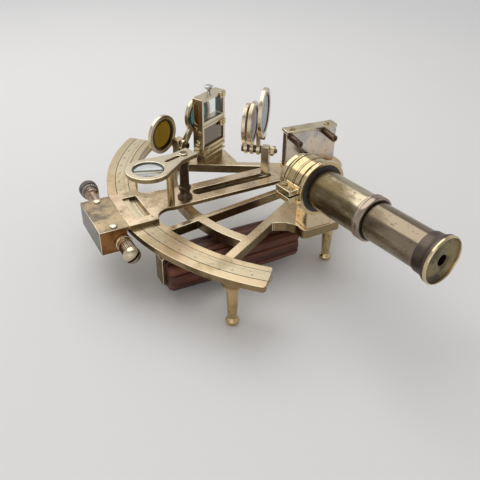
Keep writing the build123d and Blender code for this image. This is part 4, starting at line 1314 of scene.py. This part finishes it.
@dataclass
class TangentScrew:
    """The fine motion's knurled knob, and the slotted clamp screw opposite."""

    axis_y: float = -154.4
    axis_z: float = 33.6
    knob_end: float = -56.25
    knob: Profile = (
        (0.0, 0.0), (0.0, 4.6), (0.5, 5.4), (1.2, 6.0), (5.6, 6.0), (6.0, 5.5), (6.6, 5.3), (7.0, 5.7),
        (8.6, 5.7), (9.0, 5.2), (10.5, 4.9), (10.5, 0.0),
    )
    clamp_barrel: Profile = (
        (2.0, 0.0), (2.0, 2.5), (21.0, 2.5), (21.0, 4.9), (21.4, 5.3), (23.2, 5.3), (23.6, 4.9),
        (23.6, 3.9), (24.4, 3.9), (24.7, 4.6), (26.0, 4.6), (26.2, 4.3), (34.6, 4.3), (34.8, 4.8),
        (35.3, 4.9), (35.5, 4.5), (35.9, 4.5), (36.1, 5.1), (36.5, 5.4), (37.6, 5.4),
    )
    dome_from: float = 37.6
    dome_height: float = 4.2
    dome_radius: float = 5.4
    slot_from: float = 39.6
    slot_half_length: float = 8.0
    slot_half_width: float = 0.8
    slot_cut: float = 4.0
    slot_tilt: float = 35.0

    def build(self) -> None:
        """Turn the knob and the clamp screw and cut their knurls."""
        end, middle = spot(self.knob_end, self.axis_y, self.axis_z), spot(0, self.axis_y, self.axis_z)
        Turning(
            "tangent_knob_cap", self.knob, Finish.STEEL, "tangent_screw", "steel", ("tangent_knob",),
        ).build(end, EAST)
        self.clamp(middle)
        for name, body, slot, base, start, radius, length, ridges, finish, height in (
            ("tangent_knob_knurl", "tangent_screw", "steel", end, 1.2, 6.0, 4.4, 40, Finish.STEEL, 0.42),
            ("tangent_knob_beading", "tangent_screw", "steel", end, 7.1, 5.5, 1.4, 24, Finish.CREAM, 0.5),
            ("clamp_screw_knurl", "clamp_screw", "bright_brass", middle, 26.3, 4.4, 8.2, 30,
             Finish.DRAW, 0.38),
        ):
            place = base + EAST * start * MM
            Knurl(name, body, slot, place, EAST, radius, length, ridges, finish, height).build()

    def clamp(self, base: Vector) -> None:
        """Turn the clamp screw and slot its domed head.

        Args:
            base: where its axis crosses the arm's middle, in metres.
        """
        dome = [
            (self.dome_from + self.dome_height * math.sin(angle), self.dome_radius * math.cos(angle))
            for angle in (0.2, 0.4, 0.6, 0.8, 1.0, 1.2, 1.4)
        ]
        outline = [*self.clamp_barrel, *dome, (self.dome_from + self.dome_height, 0.0)]
        turned = from_bmesh(lathe(outline, base, EAST, sides=96))
        turned.materials.append(Finish.CREAM.material)
        tilt = math.radians(self.slot_tilt)
        across = Vector((0.0, math.cos(tilt), math.sin(tilt)))
        shape = rectangle(self.slot_half_length, -self.slot_half_width, self.slot_half_width)
        slot = slab(shape, base + EAST * self.slot_from * MM, across, EAST.cross(across), self.slot_cut)
        # The slot's walls are in the dark bronze finish: painted shade in the slot.
        made = piece("clamp_screw_turned", grooved(turned, slot, Finish.BRONZE))
        settle(made, "clamp_screw", "bright_brass", "clamp_screw")


@dataclass
class Magnifier:
    """The reading glass: a domed lens, its blackened bezel and the turned pillar."""

    pillar: tuple[float, float] = (3.2, -104.2)
    angle: float = -71.0
    reach: float = 29.0
    level: float = 72.1
    lens: float = 9.8
    thickness: float = 3.0
    rim_level: float = 0.7
    dome: float = 0.5
    bezel_levels: tuple[float, float] = (0.1, 0.65)
    bezel_width: float = 1.0
    post: Profile = (
        (43.4, 0.0), (43.4, 5.0), (44.6, 5.0), (45.0, 4.6), (45.6, 3.9), (46.4, 3.4), (49.4, 3.3),
        (49.8, 4.0), (50.4, 4.2), (51.2, 4.2), (51.8, 4.0), (52.2, 3.3), (53.4, 3.1), (68.0, 3.1),
        (68.6, 3.3), (69.2, 3.3), (69.6, 2.9), (70.2, 3.3), (72.0, 3.3), (72.0, 2.0), (75.3, 2.0),
        (75.3, 0.0),
    )

    def build(self) -> None:
        """Turn the lens, bezel and pillar."""
        middle = spot(*self.pillar, self.level) + compass(self.angle) * self.reach * MM
        base = [
            (self.rim_level - self.dome * (1 - (radius / self.lens) ** 2), radius)
            for radius in (0.0, 2.0, 4.0, 6.0, 8.0, self.lens - 0.1)
        ]
        crown = [(self.thickness - level, radius) for level, radius in reversed(base)]
        (low, high), inner = self.bezel_levels, self.lens - self.bezel_width
        ring = ((low, inner), (low, self.lens), (high, self.lens), (high, inner))
        Turning(
            "magnifier_lens_domed", base + crown, Finish.CLEAR, "magnifier", "clear_glass",
            ("magnifier_lens",),
        ).build(middle, UP)
        Turning(
            "magnifier_bezel", ring, Finish.BLACKING, "magnifier", "bright_brass", closed=True,
        ).build(middle, UP)
        Turning(
            "magnifier_pillar_turned", self.post, Finish.BRONZE, "index_arm", "dark_brass",
            ("magnifier_pillar",),
        ).build(spot(*self.pillar, 0), UP)


@dataclass(frozen=True)
class Shade:
    """One hinged sun shade, in the same numbers as its solid."""

    node: str
    glass: str
    facing: float
    hinge: Point
    offset: float
    radius: float
    reach: float
    lean: float
    crank: float
    tint: Finish
    rim: float = 2.6
    thickness: float = 2.6
    pane_levels: tuple[float, float] = (0.55, 2.05)
    bezel_height: float = 0.4
    bezel_width: float = 1.7

    def centre(self) -> Vector:
        """Middle of the disc's low face.

        Returns:
            The place in metres.
        """
        lean = math.radians(self.lean)
        side = compass(self.facing + 90) * self.reach * math.sin(lean) + UP * self.reach * math.cos(lean)
        out = compass(self.facing) * (self.offset - self.thickness / 2 + self.crank)
        return spot(*self.hinge) + (side + out) * MM

    def build(self) -> None:
        """Dress the ring and its glass, and screw the retaining bezels in."""
        Forging(self.node, Finish.CREAM, 0.3).build()
        axis, middle, bore = compass(self.facing), self.centre(), self.radius - self.rim
        body = body_of(self.node)
        low, high = self.pane_levels
        pane = ((low, 0.0), (low, bore), (high, bore), (high, 0.0))
        Turning(
            f"{self.glass}_pane", pane, self.tint, body, slot_of(self.glass), (self.glass,),
        ).build(middle, axis)
        work = bmesh.new()
        inner = bore - self.bezel_width
        for under, over in ((low - self.bezel_height, low), (high, high + self.bezel_height)):
            lathe(((under, inner), (under, bore), (over, bore), (over, inner)), middle, axis, True, into=work)
        settle(piece(f"{self.node}_bezels", from_bmesh(work), Finish.BRONZE), body, "dark_brass")


@dataclass
class Shades:
    """Both sets of sun shades with their axles, posts and nuts.

    A shade's row holds its offset along the axle, radius, reach, lean in degrees, crank and tint.
    """

    index_hinge: Point = (-2.0, -40.0, 61.8)
    index_facing: float = 229.0
    index_rows: tuple = (
        (5.0, 16.5, 29.0, 7.0, -3.6, Finish.SMOKE),
        (9.6, 15.0, 18.4, -4.0, 0.0, Finish.UMBER),
        (13.9, 14.2, 17.4, -7.0, 0.0, Finish.UMBER),
    )
    horizon_hinge: Point = (-58.2, -82.1, 52.0)
    horizon_facing: float = 28.0
    horizon_rows: tuple = (
        (-4.6, 14.2, 16.4, -49.0, 0.0, Finish.AMBER),
        (4.6, 13.5, 25.6, 43.0, 0.0, Finish.TEAL),
    )
    fittings: tuple[Forging, ...] = (
        Forging("index_shade_post", Finish.CREAM, 0.4),
        Forging("index_shade_axle", Finish.BRONZE, 0.2, Finish.BRONZE),
        Forging("index_wing_nut", Finish.POLISHED, 0.4),
        # The post's upright faces are painted shade.
        Forging("horizon_shade_post", Finish.CASTING, 0.35, sides=((Finish.FLANK, None),)),
        Forging("horizon_shade_axle", Finish.BRONZE, 0.2, Finish.BRONZE),
    )

    def build(self) -> None:
        """Dress every shade and what carries it."""
        for group, facing, hinge, rows in (
            ("index", self.index_facing, self.index_hinge, self.index_rows),
            ("horizon", self.horizon_facing, self.horizon_hinge, self.horizon_rows),
        ):
            for number, row in enumerate(rows, 1):
                Shade(f"{group}_shade_{number}", f"{group}_shade_glass_{number}", facing, hinge, *row).build()
        for fitting in self.fittings:
            fitting.build()


@dataclass
class IndexMirror:
    """The index mirror and its frame, with the adjusting pins and the screws through lip and base."""

    turn: float = -5.0
    forgings: tuple[Forging, ...] = (
        # The frame's side cheeks are painted shade, in dark bronze.
        Forging("index_mirror_frame", Finish.BACKPLATE, 0.5,
                sides=((Finish.BRONZE, -95.0), (Finish.BRONZE, 85.0))),
        Forging("index_mirror_lip", Finish.CREAM, 0.4),
        Forging("index_mirror_base", Finish.CASTING, 0.4),
        Forging("index_mirror", Finish.MIRROR, 0.1, Finish.MIRROR),
    )
    pins: tuple[tuple[float, float], ...] = ((-22.0, 69.6), (5.0, 69.6), (-8.5, 53.0))
    pin_start: float = 3.0
    pin: Profile = (
        (0.0, 0.0), (0.0, 1.9), (0.5, 1.9), (0.7, 2.35), (3.2, 2.35), (3.5, 1.9), (4.0, 1.9), (4.3, 2.45),
        (11.8, 2.45), (12.1, 2.1), (12.5, 2.1), (12.8, 2.45), (14.4, 2.45), (15.0, 1.9), (15.0, 0.9),
        (14.2, 0.8), (14.2, 0.0),
    )
    lip_top: float = 73.6
    lip_screws: tuple[float, ...] = (-19.0, 8.0)
    lip_screw_radius: float = 2.0
    base_top: float = 45.8
    base_screws: tuple[float, ...] = (-20.0, 10.0)
    base_screw_out: float = 6.0
    base_screw_radius: float = 1.6

    def build(self) -> None:
        """Dress the frame, turn the pins and set the screws."""
        for forging in self.forgings:
            forging.build()
        out, side = compass(self.turn), compass(self.turn + 90)
        work = bmesh.new()
        for across, height in self.pins:
            place = spot(0, 0, height) + (side * across + out * self.pin_start) * MM
            lathe(self.pin, place, out, sides=40, into=work)
        made = piece("index_mirror_pins", from_bmesh(work), Finish.BRONZE)
        settle(made, "index_arm", "dark_brass", "index_mirror_screws")
        screws = [
            Screw(spot(0, 0, self.lip_top) + side * across * MM, UP, self.lip_screw_radius)
            for across in self.lip_screws
        ]
        screws += [
            Screw(spot(0, 0, self.base_top) + (side * across + out * self.base_screw_out) * MM, UP,
                  self.base_screw_radius)
            for across in self.base_screws
        ]
        ScrewSet("index_mirror_lip_screws", "index_arm", "bright_brass", screws).build()


@dataclass
class HorizonMirror:
    """The half-silvered horizon mirror: stepped ledges, clips and side screws.

    Each ledge is its two levels, how far it stands proud and its half width. Each clip is its place
    across the frame and its level. Each side screw is its place along the flank, level and radius.
    """

    middle: tuple[float, float] = (-55.3, -58.0)
    normal: float = 28.0
    half_width: float = 14.0
    half_depth: float = 4.3
    forgings: tuple[Forging, ...] = (
        # The flank rows paint shade onto the frame's and the base's upright faces.
        Forging("horizon_frame", Finish.CREAM, 0.3, sides=((Finish.FLANK, -62.0), (Finish.FLANK, 118.0))),
        Forging("horizon_base", Finish.CASTING, 0.4, sides=((Finish.FLANK, None),)),
        Forging("horizon_mirror", Finish.DIMMED, 0.1, Finish.DIMMED),
        Forging("horizon_clear_glass", Finish.CLEAR, 0.1, Finish.CLEAR),
        Forging("horizon_thumb_screw", Finish.NICKEL, 0.2, Finish.NICKEL),
    )
    ledges: tuple[tuple[float, float, float, float], ...] = (
        (49.2, 50.8, 1.0, 11.8), (46.0, 47.6, 1.4, 12.6), (42.2, 43.8, 1.8, 12.0),
    )
    ledge_root: float = 0.6
    clips: tuple[tuple[float, float], ...] = ((10.2, 85.2), (10.2, 63.6), (-10.2, 46.4))
    clip_half: tuple[float, float] = (3.5, 2.2)
    clip_thickness: float = 1.2
    clip_screw_radius: float = 1.5
    side_screws: tuple[tuple[float, float, float], ...] = (
        (-1.8, 64.6, 1.7), (1.9, 62.2, 1.7), (0.2, 54.0, 2.4), (-0.6, 48.4, 2.6),
    )
    pocket_ends: tuple[float, float] = (68.7, 83.8)
    pocket_radius: float = 2.1
    pocket_shift: float = -1.0
    pocket_depth: float = 0.95
    pocket_lining: float = 0.35
    pocket_steps: int = 12

    def build(self) -> None:
        """Dress the frame, the panes and the small parts."""
        for forging in self.forgings:
            forging.build()
        front, side = compass(self.normal), compass(self.normal + 90)
        origin = spot(*self.middle, 0)
        self.pocket(origin - side * self.half_width * MM, front, side)
        work = bmesh.new()
        root = origin + front * (self.half_depth - self.ledge_root) * MM
        for low, high, proud, reach in self.ledges:
            slab(rectangle(reach, low, high), root, side, UP, proud + self.ledge_root, work)
        made = piece("horizon_ledges", eased(from_bmesh(work), 0.3), Finish.POLISHED)
        settle(made, "frame", "bright_brass")
        work = bmesh.new()
        across, up = self.clip_half
        seats = [origin + (front * self.half_depth + side * x) * MM + UP * z * MM for x, z in self.clips]
        for seat in seats:
            slab(rectangle(across, -up, up), seat, side, UP, self.clip_thickness, work)
        made = piece("horizon_clip_plates", eased(from_bmesh(work), 0.35), Finish.POLISHED)
        settle(made, "frame", "bright_brass", "horizon_clips")
        screws = [
            Screw(seat + front * self.clip_thickness * MM, front, self.clip_screw_radius) for seat in seats
        ]
        screws += [
            Screw(origin + (side * -self.half_width + front * depth) * MM + UP * z * MM, -side, radius)
            for depth, z, radius in self.side_screws
        ]
        ScrewSet("horizon_screws", "frame", "bright_brass", screws, seed=9).build()

    def pocket(self, base: Vector, front: Vector, side: Vector) -> None:
        """Lay a russet sheet of painted shade on the floor of the long pocket in the frame's flank.

        Args:
            base: the flank's foot, in metres.
            front: unit direction that the mirror looks in.
            side: unit direction across the frame.
        """
        (low, high), radius = self.pocket_ends, self.pocket_radius
        outline = [
            (self.pocket_shift + radius * math.cos(angle), level + radius * math.sin(angle))
            for level, start in ((high - radius, 0.0), (low + radius, math.pi))
            for angle in (start + math.pi * step / self.pocket_steps for step in range(self.pocket_steps + 1))
        ]
        # The sheet in the pocket is painted shade, in russet.
        mesh = from_bmesh(slab(outline, base + side * self.pocket_depth * MM, front, UP, self.pocket_lining))
        settle(piece("horizon_pocket_lining", mesh, Finish.RUSSET), "frame", "dark_brass")


def banded(name: str, outline: Profile, finish: Finish, body: str, slot: str, *replaced: str) -> Turning:
    """A hollow part of the telescope, whose outline closes on itself.

    Args:
        name: the piece's name.
        outline: its outline, as (distance, radius).
        finish: what it is made of.
        body: the body that it rides on.
        slot: its material slot.
        replaced: the nodes that it stands for, if any.

    Returns:
        The turning.
    """
    return Turning(name, outline, finish, body, slot, replaced, closed=True, sides=128)


@dataclass
class Telescope:
    """The telescope: grooved collar, tube with its rings, draw tube and eyepiece.

    Distances run from the collar's end along the axis. Each groove is its middle, half width and depth.
    """

    base: Point = (67.9, -40.5, 66.0)
    angle: float = 7.8
    groove_from: float = 16.6
    collar_radius: float = 16.2
    grooves: tuple[tuple[float, float, float], ...] = (
        (-4.9, 0.22, 0.4), (-9.1, 0.3, 0.5), (-10.4, 0.2, 0.4), (-15.9, 0.22, 0.4),
    )
    turnings: tuple[Turning, ...] = (
        # A black ring on the collar's end round the tube: painted shade of the gap.
        banded(
            "collar_inner_ring", ((0.0, 12.75), (0.0, 15.4), (0.4, 15.4), (0.6, 15.0), (0.6, 12.75)),
            Finish.BLACKING, "frame", "dark_brass",
        ),
        banded(
            "telescope_tube_turned",
            ((-21.0, 11.55), (-21.0, 12.7), (37.2, 12.7), (37.5, 13.0), (38.0, 13.0), (38.2, 12.8),
             (43.8, 12.8), (43.8, 11.55)),
            Finish.TUBE, "frame", "brass", "telescope_tube",
        ),
        banded(
            "telescope_tube_ring",
            ((38.3, 12.7), (38.7, 13.7), (39.0, 13.9), (40.3, 13.9), (40.6, 13.6), (41.0, 13.6), (41.3, 13.9),
             (43.4, 13.9), (44.0, 13.6), (44.2, 13.1), (44.2, 12.6), (43.9, 12.6)),
            Finish.RING, "frame", "brass",
        ),
        # A black ring in the tube's mouth round the draw tube: painted shade of the gap.
        banded(
            "telescope_tube_throat", ((43.8, 11.58), (43.8, 12.62), (44.0, 12.62), (44.0, 11.58)),
            Finish.BLACKING, "frame", "dark_brass",
        ),
        banded(
            "draw_tube_turned", ((8.0, 10.6), (8.0, 11.5), (80.5, 11.5), (80.5, 10.6)),
            Finish.DRAW, "draw", "bright_brass", "draw_tube",
        ),
        banded(
            "eyepiece_turned",
            ((80.5, 7.0), (80.5, 11.5), (80.9, 12.1), (81.6, 12.3), (83.4, 12.3), (85.6, 12.6), (87.4, 13.2),
             (88.6, 14.0), (89.0, 14.2), (90.4, 14.2), (90.4, 3.4), (87.0, 3.4), (87.0, 7.0)),
            Finish.COWL, "draw", "brass", "eyepiece",
        ),
        banded(
            "eyepiece_face",
            ((90.45, 3.3), (90.45, 13.3), (91.1, 13.2), (91.15, 9.0), (91.35, 4.6), (91.0, 3.6), (90.8, 3.3)),
            Finish.EYEPIECE, "draw", "brass",
        ),
        banded(
            "eyepiece_rim",
            ((90.45, 13.25), (90.45, 14.35), (91.5, 14.35), (92.1, 13.9), (92.1, 13.5), (91.5, 13.25)),
            Finish.POLISHED, "draw", "bright_brass",
        ),
        Turning(
            "objective_lens_domed", ((-24.2, 0.0), (-23.9, 5.0), (-23.2, 10.8), (-21.4, 10.8), (-21.0, 0.0)),
            Finish.CLEAR, "frame", "clear_glass", ("objective_lens",), sides=128,
        ),
        Turning(
            "eye_lens_domed", ((85.0, 0.0), (85.2, 7.0), (86.8, 7.0), (87.0, 0.0)),
            Finish.CLEAR, "draw", "clear_glass", ("eye_lens",), sides=128,
        ),
    )
    ear_screws: tuple[float, float] = (-6.2, -12.0)
    ear_reach: float = 20.2
    ear_top: float = 4.0
    ear_screw_radius: float = 2.0

    def build(self) -> None:
        """Dress the castings and turn the tubes."""
        base, along = spot(*self.base), compass(self.angle)
        Forging("telescope_post", Finish.CREAM, 0.5, sides=((Finish.CASTING, None),)).build()
        rings = bmesh.new()
        for middle, half, depth in self.grooves:
            low, high, floor = middle - half, middle + half, self.collar_radius - depth
            outline = ((low, self.groove_from), (high, self.groove_from), (high, floor), (low, floor))
            lathe(outline, base, along, True, 128, rings)
        # The grooves' walls are in the dark bronze finish: painted shade in the grooves.
        collar = Forging("telescope_collar", Finish.COLLAR, 0.3)
        collar.build(grooved(collar.shape(), rings, Finish.BRONZE))
        for turning in self.turnings:
            turning.build(base, along)
        Forging("objective_cell", Finish.POLISHED, 0.2).build()
        across = Vector((-along.y, along.x, 0.0))
        seats = [
            Screw(base + (along * place - across * self.ear_reach) * MM + UP * self.ear_top * MM, UP,
                  self.ear_screw_radius)
            for place in self.ear_screws
        ]
        ScrewSet("collar_ear_screws", "frame", "bright_brass", seats, replaced=("collar_screws",)).build()


@dataclass
class Castings:
    """The plain castings and plates: frame, limb, index arm and their fixings."""

    plan: tuple[Forging, ...] = (
        # The flank rows paint shade onto the upright faces.
        Forging("frame", Finish.CASTING, 0.3, sides=((Finish.FLANK, None),)),
        Forging("limb", Finish.LIMB, 0.18, sides=((Finish.FLANK, None),)),
        Forging("scale_arc", Finish.SCALE, 0.05, Finish.SCALE),
        Forging("handle_brackets", Finish.CASTING, 0.3, sides=((Finish.FLANK, None),)),
        Forging("index_arm", Finish.PLATE, 0.25, sides=((Finish.FLANK, None),)),
        Forging("vernier", Finish.SCALE, 0.05, Finish.SCALE),
        Forging("centre_pin", Finish.BRONZE, 0.2),
        Forging("pivot_washer", Finish.CASTING, 0.3),
        # The cover's upright faces are painted shade: dark grey, and russet on the face looking along +X.
        Forging("tangent_cover", Finish.COVER, 0.3, sides=((Finish.PEWTER, None), (Finish.RUSSET, 0.0))),
        Forging("clamp_carrier", Finish.BRONZE, 0.3, Finish.BRONZE),
        Forging("magnifier_arm", Finish.CREAM, 0.35, sides=((Finish.FLANK, None),)),
        Forging("magnifier_rest", Finish.POLISHED, 0.3),
        Forging("magnifier_nut", Finish.BRONZE, 0.2),
        Forging("tangent_screw", Finish.RING, 0.25, Finish.RING),
    )
    vernier_divisions: Graduations = field(default_factory=lambda: Graduations(
        name="vernier_divisions", body="index_arm", slot="scale", radius=138.6, level=42.02,
        first=5.0, step=-0.4875, count=21, length=2.2, outward=1,
    ))
    cover_pins: tuple[Point, ...] = ((-16.8, -158.4, 43.4), (16.8, -158.4, 43.4))
    cover_pin_radius: float = 2.3

    def build(self) -> None:
        """Dress every casting, divide the vernier and pin the cover."""
        for forging in self.plan:
            forging.build()
        self.vernier_divisions.build()
        pins = [Screw(spot(*place), UP, self.cover_pin_radius) for place in self.cover_pins]
        ScrewSet(
            "cover_screws", "index_arm", "bright_brass", pins, Finish.EDGE, ("cover_pins",), slotted=False,
        ).build()


@dataclass
class Studio:
    """Pale floor, soft light and the camera.

    A lamp's row holds its name, place in millimetres about the pivot, size in metres and watts.
    """

    pale: Colour = (0.80, 0.79, 0.775)
    air: Colour = (0.6025, 0.602, 0.6125)
    floor_radius: float = 4000.0
    floor_levels: tuple[float, float] = (-4.0, -0.1)
    haze: tuple[float, float] = (0.35, 1.5)
    overhead: tuple[float, float] = (0.35, 0.85)
    overhead_loss: float = 0.53
    lamp_rows: tuple = (
        ("key", (-420.0, -150.0, 900.0), 1.3, 7.0),
        ("fill", (700.0, -600.0, 500.0), 1.2, 1.5),
    )
    lit: Point = (0.0, -70.0, 40.0)
    eye: Point = (334.6, -241.9, 249.6)
    heading: tuple[float, float] = (-0.879, 0.477)
    pitch: float = 33.92
    roll: float = 0.89
    focal_pixels: float = 617.0
    picture_pixels: float = 480.0
    sensor: float = 36.0
    clip: tuple[float, float] = (0.01, 20.0)

    def floor(self) -> None:
        """Lay a large pale floor that fades into the backdrop far away."""
        recipe = Recipe("studio_floor")
        colour = recipe.blend(recipe.noise(3.0, 3.0), self.pale, faded(self.pale, 0.97))
        shader = recipe.add("ShaderNodeBsdfPrincipled", None, {"Base Color": colour, "Roughness": 0.7})
        away = recipe.num("ShaderNodeVectorMath", {"operation": "LENGTH"}, {0: recipe.place}, output="Value")
        air = recipe.add("ShaderNodeEmission", None, {"Color": (*self.air, 1.0), "Strength": 1.0})
        mixed = recipe.add("ShaderNodeMixShader", None, {
            0: away.ramp(*self.haze), 1: shader.outputs[0], 2: air.outputs[0],
        })
        recipe.add("ShaderNodeOutputMaterial", None, {"Surface": mixed.outputs[0]})
        low, high = self.floor_levels
        disc = ((low, 0.0), (low, self.floor_radius), (high, self.floor_radius), (high, 0.0))
        mesh = from_bmesh(lathe(disc, Vector(), UP))
        mesh.materials.append(recipe.material)
        bench("floor", mesh)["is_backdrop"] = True

    def world(self) -> None:
        """Pale air all round, dimmer overhead, that also gives the soft light."""
        scene = bpy.context.scene
        scene.world = bpy.data.worlds.new("studio_air")
        scene.world.use_nodes = True
        graph = Graph(scene.world.node_tree)
        graph.tree.nodes.clear()
        way = graph.add("ShaderNodeTexCoord").outputs["Generated"]
        height = graph.num("ShaderNodeSeparateXYZ", None, {0: way}, output=2)
        level = 1.0 - height.ramp(*self.overhead) * self.overhead_loss
        backdrop = graph.add("ShaderNodeBackground", None, {"Color": (*self.air, 1.0), "Strength": level})
        graph.add("ShaderNodeOutputWorld", None, {"Surface": backdrop.outputs[0]})

    def lamps(self) -> None:
        """A broad key from above and behind, and a low fill."""
        for name, place, size, power in self.lamp_rows:
            light = bpy.data.lights.new(name, "AREA")
            light.shape, light.size, light.energy = "DISK", size, power
            lamp = bench(name, light)
            lamp.location = spot(*place)
            lamp.rotation_mode = "QUATERNION"
            lamp.rotation_quaternion = (spot(*self.lit) - lamp.location).to_track_quat("-Z", "Y")

    def camera(self) -> None:
        """Stand the camera where it looks over the arc at the telescope."""
        pitch, roll = math.radians(self.pitch), math.radians(self.roll)
        level = Vector((*self.heading, 0.0)).normalized()
        forward = level * math.cos(pitch) - UP * math.sin(pitch)
        right = level.cross(UP).normalized()
        above = right.cross(forward)
        side = right * math.cos(roll) + above * math.sin(roll)
        top = above * math.cos(roll) - right * math.sin(roll)
        lens = bpy.data.cameras.new("camera")
        lens.sensor_width = self.sensor
        lens.lens = self.focal_pixels / self.picture_pixels * self.sensor
        lens.clip_start, lens.clip_end = self.clip
        eye = bench("camera", lens)
        turned = Matrix((side, top, -forward)).transposed().to_4x4()
        eye.matrix_world = Matrix.Translation(spot(*self.eye)) @ turned
        bpy.context.scene.camera = eye

    def build(self) -> None:
        """Set the stage."""
        bpy.context.scene.view_settings.view_transform = "Standard"
        self.floor()
        self.world()
        self.lamps()
        self.camera()


def corners() -> list[list[float]]:
    """The shown object's box as plain lists."""
    return [list(corner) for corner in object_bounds()]


def main() -> None:
    """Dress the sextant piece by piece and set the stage."""
    logging.basicConfig(level=logging.INFO, format="%(name)s: %(message)s")
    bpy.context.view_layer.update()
    for part in (Castings(), Limb(), Legs(), Handle(), TangentScrew(), Magnifier(), Shades(), IndexMirror(),
                 HorizonMirror(), Telescope(), Studio()):
        part.build()
        logger.info("built %s", type(part).__name__)


if __name__ == "__main__":
    main()
